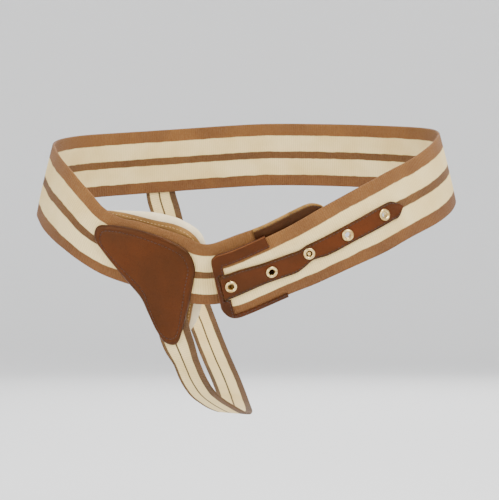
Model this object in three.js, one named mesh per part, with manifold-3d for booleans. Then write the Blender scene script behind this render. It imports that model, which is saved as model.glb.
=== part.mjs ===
// Hernia belt for the right groin, in millimetres, +Z up. The belt keeps the form that
// it has when worn: the front faces -Y and the wearer's left is +X. The origin is the
// middle of the hips, at the height where the band crosses the wearer's right side.
import * as THREE from "three";
import { mergeVertices } from "three/addons/utils/BufferGeometryUtils.js";
import Module from "manifold-3d";

const wasm = await Module();
wasm.setup();

// The hips that the belt is laid round
const HIP_WIDTH = 356;
const BELLY_DEPTH = 112;
const SEAT_DEPTH = 130;
const GROIN_SETBACK = 46;
const GROIN_TOP = -10;
const GROIN_HEIGHT = 150;
const LOIN_HOLLOW = 32;
const LOIN_HEIGHT = 170;
const WAIST_TAPER = 0.2;
const WAIST_HEIGHT = 210;
const WIDEST_RISE = -60;
const HIP_SQUARENESS = 2.3;

// Clearance between pieces that lie on each other
const GAP = 0.35;

// Elastic band
const BAND_WIDTH = 52;
const BAND_THICKNESS = 2;
const BAND_LOW = -57;
const BAND_CLIMB = 98;
const BAND_CORNER = 6;
const BAND_LOWER_CORNER = 11;
const BAND_COLUMNS = 5;
const FRONT_STEP = 6;
const BACK_STEP = 11;
const BACK_FROM = 100;
const BACK_TO = 270;
const LAP_CLIMB = 55;

// Leather on the band's two ends
const TIP_THICKNESS = 1.6;
const TIP_LENGTH = 62;
const TIP_EDGE = 0.5;
const TIP_CORNER = 14;
const CAP_THICKNESS = 1.4;
const CAP_LENGTH = 48;
const CAP_END_BORDER = 7;
const CAP_BACK_BORDER = 3.5;
const CAP_TOP_BORDER = 7.5;
const CAP_BOTTOM_BORDER = 2.5;
const CAP_LEAST_BORDER = 1.5;

// Eyelet strip, eyelets and the stud that holds the lap closed
const STRIP_WIDTH = 15;
const STRIP_LENGTH = 156;
const STRIP_FROM_END = 2.5;
const STRIP_THICKNESS = 2;
const STRIP_COLUMNS = 3;
const EYELET_COUNT = 5;
const EYELET_FIRST = 6.6;
const EYELET_LAST = 20;
const EYELET_OUTER = 9.6;
const EYELET_HOLE = 4.8;
const EYELET_WALL = 0.5;
const EYELET_FLANGE = 0.6;
const EYELET_CROWN = 0.5;
const EYELET_SIDES = 16;
const STUD_EYELET = 3;
const STUD_DIAMETER = 3.2;
const STUD_BASE = 7.5;
const STUD_BASE_THICKNESS = 0.6;

// Pad on the groin, from the body outwards
const PAD_TURN = 37;
const CUSHION_WIDTH = 80;
const CUSHION_HEIGHT = 104;
const CUSHION_THICKNESS = 11;
const BACKING_WIDTH = 76;
const BACKING_HEIGHT = 100;
const BACKING_THICKNESS = 2;
const SHIELD_WIDTH = 72;
const SHIELD_HEIGHT = 90;
const SHIELD_THICKNESS = 3;
const PAD_RAMP_OUTER = 90;
const PAD_RAMP_INNER = 75;
const OUTLINE_POINTS = 44;
const OUTLINE_MIDDLE = { across: -0.05, up: -0.1 };

// Leg strap
const STRAP_WIDTH = 26;
const STRAP_THICKNESS = 1.8;
const STRAP_COLUMNS = 3;
const STRAP_STEP = 8;
const STRAP_TOP_ROOM = 8;
const CROTCH_DROP = 175;

// Middle line of the band, from its tail under the lap, once round the hips by the
// wearer's right, to its outer end. turn is in degrees from the front middle towards the
// wearer's right, rise is a share of BAND_CLIMB above BAND_LOW. above and below are the
// band's edges as shares of BAND_WIDTH: the elastic is narrower where it's pulled tight.
const BAND_ROUTE = [
  { turn: -33, rise: 0.348, above: 0.48, below: 0.48 },
  { turn: -25, rise: 0.262, above: 0.48, below: 0.48 },
  { turn: -18, rise: 0.192, above: 0.48, below: 0.48 },
  { turn: -10, rise: 0.133, above: 0.47, below: 0.47 },
  { turn: 0, rise: 0.08, above: 0.47, below: 0.47 },
  { turn: 13, rise: 0.012, above: 0.47, below: 0.46 },
  { turn: 22, rise: 0.01, above: 0.48, below: 0.46 },
  { turn: 31, rise: 0.058, above: 0.52, below: 0.44 },
  { turn: 43, rise: 0.139, above: 0.52, below: 0.41 },
  { turn: 48.5, rise: 0.2, above: 0.47, below: 0.42 },
  { turn: 54, rise: 0.307, above: 0.43, below: 0.46 },
  { turn: 60, rise: 0.444, above: 0.5, below: 0.53 },
  { turn: 67, rise: 0.557, above: 0.59, below: 0.55 },
  { turn: 79, rise: 0.69, above: 0.62, below: 0.54 },
  { turn: 95, rise: 0.78, above: 0.6, below: 0.54 },
  { turn: 120, rise: 0.89, above: 0.55, below: 0.54 },
  { turn: 180, rise: 1, above: 0.53, below: 0.54 },
  { turn: 215, rise: 1, above: 0.53, below: 0.54 },
  { turn: 245, rise: 0.955, above: 0.54, below: 0.55 },
  { turn: 268, rise: 0.885, above: 0.55, below: 0.56 },
  { turn: 280, rise: 0.82, above: 0.55, below: 0.57 },
  { turn: 289, rise: 0.73, above: 0.55, below: 0.57 },
  { turn: 298, rise: 0.622, above: 0.54, below: 0.56 },
  { turn: 306, rise: 0.526, above: 0.54, below: 0.55 },
  { turn: 314, rise: 0.42, above: 0.53, below: 0.54 },
  { turn: 322, rise: 0.316, above: 0.51, below: 0.52 },
  { turn: 330, rise: 0.212, above: 0.5, below: 0.5 },
  { turn: 338, rise: 0.122, above: 0.5, below: 0.49 },
  { turn: 349, rise: 0.034, above: 0.5, below: 0.48 },
  { turn: 358, rise: -0.022, above: 0.5, below: 0.48 },
  { turn: 366, rise: -0.063, above: 0.5, below: 0.48 },
  { turn: 372.5, rise: -0.087, above: 0.5, below: 0.48 },
];

// Outlines of the pad's layers about the band's middle line at PAD_TURN. across is
// towards the wearer's right as a share of the layer's width, up as a share of its height.
const SHIELD_OUTLINE = [
  { across: 0.53, up: 0.2 },
  { across: 0.485, up: 0.285 },
  { across: 0.35, up: 0.298 },
  { across: 0.14, up: 0.28 },
  { across: -0.06, up: 0.243 },
  { across: -0.257, up: 0.184 },
  { across: -0.417, up: 0.097 },
  { across: -0.463, up: -0.02 },
  { across: -0.43, up: -0.13 },
  { across: -0.36, up: -0.27 },
  { across: -0.278, up: -0.404 },
  { across: -0.143, up: -0.587 },
  { across: -0.04, up: -0.69 },
  { across: 0.035, up: -0.708 },
  { across: 0.12, up: -0.68 },
  { across: 0.165, up: -0.58 },
  { across: 0.185, up: -0.42 },
  { across: 0.2, up: -0.29 },
  { across: 0.267, up: -0.178 },
  { across: 0.36, up: -0.045 },
  { across: 0.46, up: 0.09 },
];
const BACKING_OUTLINE = [
  { across: 0.46, up: 0.27 },
  { across: 0.42, up: 0.36 },
  { across: 0.25, up: 0.36 },
  { across: 0.1, up: 0.338 },
  { across: -0.1, up: 0.302 },
  { across: -0.29, up: 0.272 },
  { across: -0.43, up: 0.218 },
  { across: -0.52, up: 0.12 },
  { across: -0.53, up: -0.09 },
  { across: -0.335, up: -0.33 },
  { across: -0.255, up: -0.46 },
  { across: -0.155, up: -0.567 },
  { across: -0.02, up: -0.62 },
  { across: 0.11, up: -0.57 },
  { across: 0.155, up: -0.46 },
  { across: 0.175, up: -0.3 },
  { across: 0.245, up: -0.165 },
  { across: 0.34, up: -0.04 },
  { across: 0.43, up: 0.1 },
];
const CUSHION_OUTLINE = [
  { across: 0.46, up: 0.24 },
  { across: 0.47, up: 0.33 },
  { across: 0.42, up: 0.378 },
  { across: 0.3, up: 0.386 },
  { across: 0.13, up: 0.38 },
  { across: -0.05, up: 0.37 },
  { across: -0.23, up: 0.342 },
  { across: -0.41, up: 0.28 },
  { across: -0.51, up: 0.21 },
  { across: -0.56, up: 0.1 },
  { across: -0.55, up: -0.1 },
  { across: -0.43, up: -0.34 },
  { across: -0.35, up: -0.455 },
  { across: -0.23, up: -0.558 },
  { across: -0.1, up: -0.612 },
  { across: 0.03, up: -0.59 },
  { across: 0.11, up: -0.48 },
  { across: 0.15, up: -0.29 },
  { across: 0.225, up: -0.135 },
  { across: 0.33, up: -0.02 },
  { across: 0.42, up: 0.12 },
];

// Sections from the middle of a layer over its outer face, round its rim and back over
// its inner face. reach is a share of the outline, height of the layer's thickness.
const FLAT_SECTION = [
  { reach: 0.35, height: 1 },
  { reach: 0.7, height: 1 },
  { reach: 0.975, height: 1 },
  { reach: 1, height: 0.5 },
  { reach: 0.975, height: 0 },
  { reach: 0.7, height: 0 },
  { reach: 0.35, height: 0 },
];
const CUSHION_SECTION = [
  { reach: 0.4, height: 1 },
  { reach: 0.75, height: 0.99 },
  { reach: 0.93, height: 0.93 },
  { reach: 0.985, height: 0.8 },
  { reach: 1, height: 0.6 },
  { reach: 0.97, height: 0.38 },
  { reach: 0.87, height: 0.2 },
  { reach: 0.65, height: 0.07 },
  { reach: 0.35, height: 0.01 },
];

// Eyelet strip from its wide end at the binding to its pointed tip. along is a share of
// STRIP_LENGTH; above and below are its edges as shares of STRIP_WIDTH.
const STRIP_TABLE = [
  { along: 0, above: 0.78, below: -0.58 },
  { along: 0.04, above: 0.8, below: -0.53 },
  { along: 0.115, above: 0.8, below: -0.48 },
  { along: 0.218, above: 0.655, below: -0.48 },
  { along: 0.32, above: 0.547, below: -0.6 },
  { along: 0.372, above: 0.49, below: -0.633 },
  { along: 0.42, above: 0.44, below: -0.5 },
  { along: 0.462, above: 0.49, below: -0.37 },
  { along: 0.538, above: 0.46, below: -0.51 },
  { along: 0.705, above: 0.433, below: -0.513 },
  { along: 0.917, above: 0.453, below: -0.533 },
  { along: 0.95, above: 0.37, below: -0.55 },
  { along: 1, above: -0.07, below: -0.2 },
];

// Leg strap's start under the shield: across is a share of SHIELD_WIDTH, down a share of
// the height from the strap's upper end to the shield's tip.
const STRAP_START = [
  { across: -0.04, down: 0 },
  { across: -0.042, down: 0.45 },
  { across: -0.038, down: 0.9 },
];
// Its free run through the crotch: right is a share of the half hip width, out a share
// of the belly's depth in front and of the seat's depth behind, down of CROTCH_DROP.
const STRAP_RUN = [
  { right: 0.272, out: -0.75, down: 0.754 },
  { right: 0.242, out: -0.705, down: 0.829 },
  { right: 0.202, out: -0.625, down: 0.895 },
  { right: 0.152, out: -0.51, down: 0.941 },
  { right: 0.1, out: -0.375, down: 0.977 },
  { right: 0.068, out: -0.18, down: 0.998 },
  { right: 0.05, out: 0.06, down: 1 },
  { right: 0.062, out: 0.29, down: 0.971 },
  { right: 0.1, out: 0.54, down: 0.88 },
  { right: 0.163, out: 0.755, down: 0.743 },
  { right: 0.236, out: 0.905, down: 0.56 },
];
// Its end on the seat and over the band: up is a share of the band's width above its
// lower edge, down a share of CROTCH_DROP below it, over how far it has climbed the band.
const STRAP_END = [
  { turn: 155.5, up: 0, down: 0.4, over: 0 },
  { turn: 151, up: 0, down: 0.2, over: 0 },
  { turn: 148, up: 0, down: 0.08, over: 0.1 },
  { turn: 146.3, up: 0, down: 0.022, over: 1 },
  { turn: 144.8, up: 0.16, down: 0, over: 1 },
  { turn: 142.5, up: 0.5, down: 0, over: 1 },
  { turn: 140.5, up: 0.88, down: 0, over: 1 },
];
// Point inside the pelvis that the strap's inner face looks to on its free run
const STRAP_MIDDLE = { right: 0, out: 0, down: 0.34 };

const FINISHES = {
  webbing: { color: 0xd9c9a6, roughness: 0.85, metalness: 0 },
  darkLeather: { color: 0x5e2f1c, roughness: 0.55, metalness: 0 },
  stripLeather: { color: 0x7a3d25, roughness: 0.5, metalness: 0 },
  backing: { color: 0xb98753, roughness: 0.8, metalness: 0 },
  cushion: { color: 0xe6dcc4, roughness: 0.9, metalness: 0 },
  brass: { color: 0xd2b678, roughness: 0.3, metalness: 1 },
};

// Smooth step from 0 to 1
function ease(share) {
  const t = THREE.MathUtils.clamp(share, 0, 1);
  return t * t * (3 - 2 * t);
}

// Point of the hip form in a direction round the body, at a height
function hipPoint(turn, rise) {
  const angle = THREE.MathUtils.degToRad(turn);
  const side = Math.sin(angle);
  const front = Math.cos(angle);
  const taper = WAIST_TAPER * ease((rise - WIDEST_RISE) / WAIST_HEIGHT);
  const halfWidth = (HIP_WIDTH / 2) * (1 - taper);
  const belly = BELLY_DEPTH - GROIN_SETBACK * ease((GROIN_TOP - rise) / GROIN_HEIGHT);
  const seat = SEAT_DEPTH - LOIN_HOLLOW * ease((rise - WIDEST_RISE) / LOIN_HEIGHT);
  const depth = front > 0 ? belly : seat;
  const sum = (Math.abs(front) / depth) ** HIP_SQUARENESS
    + (Math.abs(side) / halfWidth) ** HIP_SQUARENESS;
  const reach = sum ** (-1 / HIP_SQUARENESS);
  return new THREE.Vector3(-reach * side, -reach * front, rise);
}

// Index of the last of some rising values, but the final one, that a value has reached
function segmentOf(values, value) {
  const next = values.findIndex((candidate) => candidate > value);
  return next < 0 ? values.length - 2 : THREE.MathUtils.clamp(next - 1, 0, values.length - 2);
}

// Length round the hips at the pad's height, summed for each degree from the front
const FIRST_DEGREE = -60;
const LAST_DEGREE = 430;
const arcs = [0];
for (let degree = FIRST_DEGREE + 1; degree <= LAST_DEGREE; degree++) {
  const step = hipPoint(degree, BAND_LOW).distanceTo(hipPoint(degree - 1, BAND_LOW));
  arcs.push(arcs.at(-1) + step);
}
const frontArc = arcs[-FIRST_DEGREE];
const GIRTH = arcs[360 - FIRST_DEGREE] - frontArc;

function arcAt(turn) {
  const index = Math.floor(turn) - FIRST_DEGREE;
  const part = turn - Math.floor(turn);
  return arcs[index] + part * (arcs[index + 1] - arcs[index]) - frontArc;
}

function turnAt(arc) {
  const index = segmentOf(arcs, arc + frontArc);
  const part = (arc + frontArc - arcs[index]) / (arcs[index + 1] - arcs[index]);
  return FIRST_DEGREE + index + part;
}

// Point, outward normal and the two directions of the hip form at an arc and a rise
function hipFrame(arc, rise) {
  const at = (a, r) => hipPoint(turnAt(a), r);
  const along = at(arc + 1, rise).sub(at(arc - 1, rise)).multiplyScalar(0.5);
  const upward = at(arc, rise + 1).sub(at(arc, rise - 1)).multiplyScalar(0.5);
  const normal = upward.clone().cross(along).normalize();
  return { point: at(arc, rise), along, upward, normal };
}

function laid(arc, rise, lift) {
  const frame = hipFrame(arc, rise);
  return frame.point.addScaledVector(frame.normal, lift);
}

// Value between the rows of a table, on a smooth curve through them
function between(rows, key, value, column) {
  const index = segmentOf(rows.map((row) => row[key]), value);
  const a = rows[index];
  const b = rows[index + 1];
  const before = rows[index - 1] ?? a;
  const after = rows[index + 2] ?? b;
  const span = b[key] - a[key];
  const t = (value - a[key]) / span;
  const slopeA = ((b[column] - before[column]) / (b[key] - before[key])) * span;
  const slopeB = ((after[column] - a[column]) / (after[key] - a[key])) * span;
  const t2 = t * t;
  const t3 = t2 * t;
  return (2 * t3 - 3 * t2 + 1) * a[column] + (t3 - 2 * t2 + t) * slopeA
    + (3 * t2 - 2 * t3) * b[column] + (t3 - t2) * slopeB;
}

// The band's middle line, measured along itself
function bandRise(turn) {
  return BAND_LOW + BAND_CLIMB * between(BAND_ROUTE, "turn", turn, "rise");
}

const ROUTE_STEP = 0.5;
const route = [];
let measured = 0;
let lastPoint = null;
for (let turn = BAND_ROUTE[0].turn; turn <= BAND_ROUTE.at(-1).turn; turn += ROUTE_STEP) {
  const point = hipPoint(turn, bandRise(turn));
  measured += lastPoint ? point.distanceTo(lastPoint) : 0;
  lastPoint = point;
  const above = BAND_WIDTH * between(BAND_ROUTE, "turn", turn, "above");
  const below = BAND_WIDTH * between(BAND_ROUTE, "turn", turn, "below");
  route.push({ length: measured, arc: arcAt(turn), rise: point.z, above, below });
}
const BAND_LENGTH = measured;

// Length along the band at a turn, and the band's frame at a length along it
function lengthAtTurn(turn) {
  return route[Math.round((turn - BAND_ROUTE[0].turn) / ROUTE_STEP)].length;
}

function bandFrame(length) {
  const arc = (l) => between(route, "length", l, "arc");
  const rise = (l) => between(route, "length", l, "rise");
  const middle = { arc: arc(length), rise: rise(length) };
  const frame = hipFrame(middle.arc, middle.rise);
  const forward = frame.along.clone().multiplyScalar(arc(length + 1) - arc(length - 1))
    .addScaledVector(frame.upward, rise(length + 1) - rise(length - 1)).normalize();
  const across = forward.clone().cross(frame.normal);
  return { length, ...middle, ...frame, ...surfaceStep(frame, across) };
}

// Change of arc and rise for one millimetre along a direction in the surface
function surfaceStep(frame, direction) {
  const { along, upward } = frame;
  const aa = along.dot(along);
  const au = along.dot(upward);
  const uu = upward.dot(upward);
  const da = direction.dot(along);
  const du = direction.dot(upward);
  const scale = 1 / (aa * uu - au * au);
  return { stepArc: (da * uu - du * au) * scale, stepRise: (du * aa - da * au) * scale };
}

// Closed body through loops of equally many points. An end without a pole is a thin
// section, closed between its outer and its inner row.
function loft(loops, firstPole, lastPole) {
  const count = loops[0].length;
  const points = loops.flat();
  const faces = [];
  for (let row = 0; row + 1 < loops.length; row++) {
    for (let k = 0; k < count; k++) {
      const next = (k + 1) % count;
      const a = row * count;
      const b = a + count;
      faces.push([a + k, a + next, b + next], [a + k, b + next, b + k]);
    }
  }
  const close = (start, pole) => {
    const face = [];
    const top = pole ? points.push(pole) - 1 : 0;
    for (let k = 0; k < (pole ? count : count / 2 - 1); k++) {
      const a = start + k;
      const b = start + ((k + 1) % count);
      const c = start + count - 1 - k;
      face.push(...(pole ? [[top, b, a]] : [[a, c, b], [b, c, c - 1]]));
    }
    return face;
  };
  faces.push(...close(0, firstPole));
  faces.push(...close((loops.length - 1) * count, lastPole).map(([a, b, c]) => [a, c, b]));
  return bodyFrom(points, faces);
}

function middleOf(points) {
  const sum = points.reduce((total, point) => total.add(point), new THREE.Vector3());
  return sum.divideScalar(points.length);
}

// Geometry with its faces pointing out
function bodyFrom(points, faces) {
  let volume = 0;
  for (const [a, b, c] of faces) {
    volume += points[a].dot(points[b].clone().cross(points[c]));
  }
  const wound = volume > 0 ? faces : faces.map(([a, b, c]) => [a, c, b]);
  const geometry = new THREE.BufferGeometry();
  geometry.setAttribute("position",
    new THREE.Float32BufferAttribute(points.flatMap((point) => point.toArray()), 3));
  geometry.setIndex(wound.flat());
  return geometry;
}

const MERGE_DISTANCE = 1e-5;

function solidFrom(geometry) {
  const bare = geometry.clone();
  bare.deleteAttribute("normal");
  bare.deleteAttribute("uv");
  const merged = mergeVertices(bare, MERGE_DISTANCE);
  return new wasm.Manifold(new wasm.Mesh({
    numProp: 3,
    vertProperties: new Float32Array(merged.attributes.position.array),
    triVerts: new Uint32Array(merged.index.array),
  }));
}

function geometryFrom(solid) {
  const mesh = solid.getMesh();
  const geometry = new THREE.BufferGeometry();
  geometry.setAttribute("position",
    new THREE.Float32BufferAttribute(mesh.vertProperties, mesh.numProp));
  geometry.setIndex(Array.from(mesh.triVerts));
  return geometry;
}

// Pad: where its layers lie, and how far they hold the band off the body
const padArc = arcAt(PAD_TURN);
const padRise = bandRise(PAD_TURN);

function padEdges() {
  const layers = [
    [SHIELD_OUTLINE, SHIELD_WIDTH], [BACKING_OUTLINE, BACKING_WIDTH],
    [CUSHION_OUTLINE, CUSHION_WIDTH],
  ];
  const edges = layers.flatMap(([rows, width]) => rows.map((row) => padArc + row.across * width));
  return { inner: Math.min(...edges), outer: Math.max(...edges) };
}

const BACKING_LIFT = CUSHION_THICKNESS + GAP;
const PAD_LIFT = BACKING_LIFT + BACKING_THICKNESS + GAP;
const SHIELD_LIFT = PAD_LIFT + Math.max(BAND_THICKNESS, STRAP_THICKNESS) + GAP;
const pad = padEdges();

function rampLift(arc) {
  const place = arc > arcAt(BACK_TO) ? arc - GIRTH : arc;
  const outer = ease((pad.outer + PAD_RAMP_OUTER - place) / PAD_RAMP_OUTER);
  const inner = ease((place - pad.inner + PAD_RAMP_INNER) / PAD_RAMP_INNER);
  return PAD_LIFT * Math.min(outer, inner);
}

// The lap: the outer end lies over the tail, the leather tip and the stud's base
const STUD_ROOM = STUD_BASE_THICKNESS + EYELET_FLANGE + 3 * GAP;
const CAP_ROOM = CAP_THICKNESS + 2 * GAP;
const TIP_LIFT = BAND_THICKNESS + GAP;
const LAP_LIFT = TIP_LIFT + TIP_THICKNESS + Math.max(STUD_ROOM, CAP_ROOM);
const lapFull = lengthAtTurn(BAND_ROUTE[0].turn + 360) - BAND_WIDTH / 2;

// Point of the band at a distance across it and a height above its inner face
function bandPoint(frame, width, height) {
  const arc = frame.arc + frame.stepArc * width;
  const lap = LAP_LIFT * ease((frame.length - lapFull + LAP_CLIMB) / LAP_CLIMB);
  return laid(arc, frame.rise + frame.stepRise * width, rampLift(arc) + lap + height);
}

// Stations along the band from one length to another, closer together in the front
function stations(from, to) {
  const list = [from];
  const backStart = lengthAtTurn(BACK_FROM);
  const backEnd = lengthAtTurn(BACK_TO);
  while (list.at(-1) < to) {
    const here = list.at(-1);
    const step = here > backStart && here < backEnd ? BACK_STEP : FRONT_STEP;
    list.push(here + step > to - step / 3 ? to : here + step);
  }
  return list;
}

// Edges of the band at a length, moved out by a margin and rounded near one end
function bandEdges(length, margin, distance, corner, lowerCorner = corner) {
  const cut = (radius) => {
    const inside = THREE.MathUtils.clamp(distance, 0, radius);
    return radius - Math.sqrt(radius ** 2 - (radius - inside) ** 2) - margin;
  };
  const high = between(route, "length", length, "above") - cut(corner);
  const low = cut(lowerCorner) - between(route, "length", length, "below");
  return { low, high };
}

// Strip laid along the band: edges gives its low and high side at a length, inner and
// outer are its faces above the band's own inner face
function laidStrip(lengths, edges, inner, outer, columns) {
  const loops = lengths.map((length) => {
    const frame = bandFrame(length);
    const { low, high } = edges(length);
    const widths = [];
    for (let column = 0; column <= columns; column++) {
      widths.push(THREE.MathUtils.lerp(low, high, column / columns));
    }
    const outerRow = widths.map((width) => bandPoint(frame, width, outer));
    const innerRow = widths.map((width) => bandPoint(frame, width, inner));
    return [...outerRow, ...innerRow.reverse()];
  });
  return loft(loops);
}

// Lengths at which a rounded end needs a station, in rising order
const NEAR_END = [0.02, 0.25, 0.6, 1];

function startLengths(start, corner) {
  return NEAR_END.map((share) => start + corner * share);
}

function endLengths(end, corner) {
  return NEAR_END.map((share) => end - corner * share).reverse();
}

function bandGeometry() {
  const tail = startLengths(0, TIP_CORNER);
  const end = endLengths(BAND_LENGTH, BAND_LOWER_CORNER);
  const lengths = [...tail, ...stations(tail.at(-1), end[0]).slice(1, -1), ...end];
  const edges = (l) => (l < BAND_LENGTH / 2 ? bandEdges(l, 0, l, TIP_CORNER)
    : bandEdges(l, 0, BAND_LENGTH - l, BAND_CORNER, BAND_LOWER_CORNER));
  const whole = solidFrom(laidStrip(lengths, edges, 0, BAND_THICKNESS, BAND_COLUMNS));
  return geometryFrom(pierced(whole));
}

function tipGeometry() {
  const tail = startLengths(-TIP_EDGE, TIP_CORNER + TIP_EDGE);
  const lengths = [...tail, ...stations(tail.at(-1), TIP_LENGTH).slice(1)];
  const edges = (l) => bandEdges(l, TIP_EDGE, l + TIP_EDGE, TIP_CORNER + TIP_EDGE);
  return laidStrip(lengths, edges, TIP_LIFT, TIP_LIFT + TIP_THICKNESS, BAND_COLUMNS);
}

// Outline of the band's outer end, moved out by a margin
function endEdges(length, margin) {
  const distance = BAND_LENGTH + margin - length;
  return bandEdges(length, margin, distance, BAND_CORNER + margin, BAND_LOWER_CORNER + margin);
}

// Lengths from a start to an end near the band's, close together in its rounded corner
function endStations(start, end) {
  const ends = endLengths(end, BAND_LOWER_CORNER);
  return [...stations(start, ends[0]).slice(0, -1), ...ends];
}

// Block that covers the band's outer end from a length on, with a margin on each side
function endBlock(start, margin, rise) {
  const lengths = endStations(start, BAND_LENGTH + margin);
  const edges = (l) => endEdges(l, margin);
  return solidFrom(laidStrip(lengths, edges, -rise, BAND_THICKNESS + rise, BAND_COLUMNS));
}

// Binding folded round the outer end: a block, less the band's pocket, a window in each
// face and a notch in the front border for the eyelet strip
function capGeometry() {
  const wall = CAP_THICKNESS + GAP;
  const start = BAND_LENGTH - CAP_LENGTH;
  const beyond = start - FRONT_STEP;
  const windowEdges = (l) => {
    const { low, high } = bandEdges(l, 0, BAND_CORNER, BAND_CORNER);
    const rounded = endEdges(l, -CAP_LEAST_BORDER).low;
    return { low: Math.max(low + CAP_BOTTOM_BORDER, rounded), high: high - CAP_TOP_BORDER };
  };
  const window = (border, inner, outer) => solidFrom(laidStrip(
    endStations(beyond, BAND_LENGTH - border), windowEdges, inner, outer, BAND_COLUMNS));
  const middle = BAND_THICKNESS / 2;
  const notchEdges = (l) => ({
    low: stripEdge(Math.min(l, stripStart), "below") - GAP,
    high: stripEdge(Math.min(l, stripStart), "above") + GAP,
  });
  const notch = laidStrip(stations(BAND_LENGTH - CAP_LENGTH / 2, stripStart + GAP), notchEdges,
    middle, BAND_THICKNESS + 2 * wall, BAND_COLUMNS);
  const block = endBlock(start, wall, wall).subtract(endBlock(beyond, GAP, GAP));
  return geometryFrom(block
    .subtract(window(CAP_END_BORDER, middle, BAND_THICKNESS + 2 * wall))
    .subtract(window(CAP_BACK_BORDER, -2 * wall, middle))
    .subtract(solidFrom(notch)));
}

// Eyelet strip: it starts in the binding's end border and lies on the band's outer face
const STRIP_LIFT = BAND_THICKNESS + GAP;
const stripStart = BAND_LENGTH - STRIP_FROM_END;

function stripEdge(length, side) {
  const along = (stripStart - length) / STRIP_LENGTH;
  return STRIP_WIDTH * between(STRIP_TABLE, "along", along, side);
}

function stripGeometry() {
  const rows = STRIP_TABLE.map((row) => stripStart - row.along * STRIP_LENGTH).reverse();
  const lengths = rows.flatMap((row, i) => (i ? stations(rows[i - 1], row).slice(1) : [row]));
  const edges = (l) => ({ low: stripEdge(l, "below"), high: stripEdge(l, "above") });
  const outer = STRIP_LIFT + STRIP_THICKNESS;
  const whole = laidStrip(lengths, edges, STRIP_LIFT, outer, STRIP_COLUMNS);
  return geometryFrom(pierced(solidFrom(whole)));
}

// Places of the eyelets, along the middle of the strip
function eyeletPlaces() {
  const pitch = (STRIP_LENGTH - EYELET_FIRST - EYELET_LAST) / (EYELET_COUNT - 1);
  const places = [];
  for (let index = 0; index < EYELET_COUNT; index++) {
    const length = stripStart - EYELET_FIRST - index * pitch;
    const width = (stripEdge(length, "below") + stripEdge(length, "above")) / 2;
    places.push(bandPlace(length, width));
  }
  return places;
}

// Point of the band's inner face with the direction that stands up from it
function bandPlace(length, width) {
  const at = (l, w) => bandPoint(bandFrame(l), w, 0);
  const along = at(length + 1, width).sub(at(length - 1, width));
  const across = at(length, width + 1).sub(at(length, width - 1));
  return { point: at(length, width), normal: across.cross(along).normalize() };
}

function standOn(object, place) {
  object.position.copy(place.point);
  object.quaternion.setFromUnitVectors(new THREE.Vector3(0, 1, 0), place.normal);
  object.updateMatrix();
  return object;
}

// Solid with the eyelets' holes cut through it
function pierced(solid) {
  const bore = EYELET_HOLE / 2 + EYELET_WALL + GAP;
  const depth = 2 * (STRIP_LIFT + STRIP_THICKNESS);
  const cutter = new THREE.CylinderGeometry(bore, bore, depth, EYELET_SIDES);
  cutter.translate(0, (depth - BAND_THICKNESS) / 2, 0);
  return eyeletPlaces().reduce((rest, place) => {
    const drill = new THREE.Mesh(cutter);
    const tool = drill.geometry.clone().applyMatrix4(standOn(drill, place).matrix);
    return rest.subtract(solidFrom(tool));
  }, solid);
}

// Ring with a flange on each side of the strip and the band, heights from the band
function eyeletGeometry() {
  const hole = EYELET_HOLE / 2;
  const barrel = hole + EYELET_WALL;
  const outer = EYELET_OUTER / 2;
  const back = -GAP;
  const face = STRIP_LIFT + STRIP_THICKNESS + GAP;
  const profile = [
    [hole, back - EYELET_FLANGE],
    [outer - EYELET_WALL, back - EYELET_FLANGE],
    [outer - EYELET_WALL, back],
    [barrel, back],
    [barrel, face],
    [outer, face],
    [outer - EYELET_CROWN, face + EYELET_FLANGE],
    [hole + EYELET_CROWN, face + EYELET_FLANGE + EYELET_CROWN / 2],
    [hole, face + EYELET_FLANGE / 2],
    [hole, back - EYELET_FLANGE],
  ];
  return lathe(profile);
}

function lathe(profile) {
  return new THREE.LatheGeometry(profile.map(([r, h]) => new THREE.Vector2(r, h)), EYELET_SIDES);
}

// Stud that stands on the leather tip, inside its eyelet
function studGeometry() {
  const foot = GAP - Math.max(STUD_ROOM, CAP_ROOM);
  const shoulder = foot + STUD_BASE_THICKNESS;
  const top = STRIP_LIFT + STRIP_THICKNESS + GAP + EYELET_FLANGE;
  const post = STUD_DIAMETER / 2;
  return lathe([
    [0, foot],
    [STUD_BASE / 2, foot],
    [STUD_BASE / 2, shoulder],
    [post, shoulder],
    [post, top - post / 2],
    [post / 2, top],
    [0, top],
  ]);
}

// Layer of the pad from its outline, its section and the height of its inner face
function layerGeometry(outline, width, height, section, lift, thickness) {
  const curve = new THREE.CatmullRomCurve3(
    outline.map((row) => new THREE.Vector3(row.across * width, row.up * height, 0)), true);
  const rim = curve.getSpacedPoints(OUTLINE_POINTS).slice(0, -1);
  const middle = new THREE.Vector3(OUTLINE_MIDDLE.across * width, OUTLINE_MIDDLE.up * height, 0);
  const at = (point, above) => laid(padArc + point.x, padRise + point.y, lift + above);
  const loops = section.map((row) => rim.map((point) => at(
    middle.clone().lerp(point, row.reach), row.height * thickness)));
  return loft(loops, at(middle, thickness), at(middle, 0));
}

// Leg strap: stations with a point, the outward direction and the bend across the strap
function laidStation(arc, rise, lift) {
  const frame = hipFrame(arc, rise);
  const half = STRAP_WIDTH / 2;
  const steps = [-half, half].map((width) => {
    const step = surfaceStep(frame, frame.along.clone().normalize());
    return laid(arc + step.stepArc * width, rise + step.stepRise * width, lift);
  });
  const point = laid(arc, rise, lift);
  const chord = middleOf(steps);
  return { point, normal: frame.normal, sag: point.clone().sub(chord).dot(frame.normal) };
}

function pelvisPoint({ right, out, down }) {
  const depth = out < 0 ? BELLY_DEPTH : SEAT_DEPTH;
  return new THREE.Vector3((-right * HIP_WIDTH) / 2, out * depth, -down * CROTCH_DROP);
}

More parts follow.
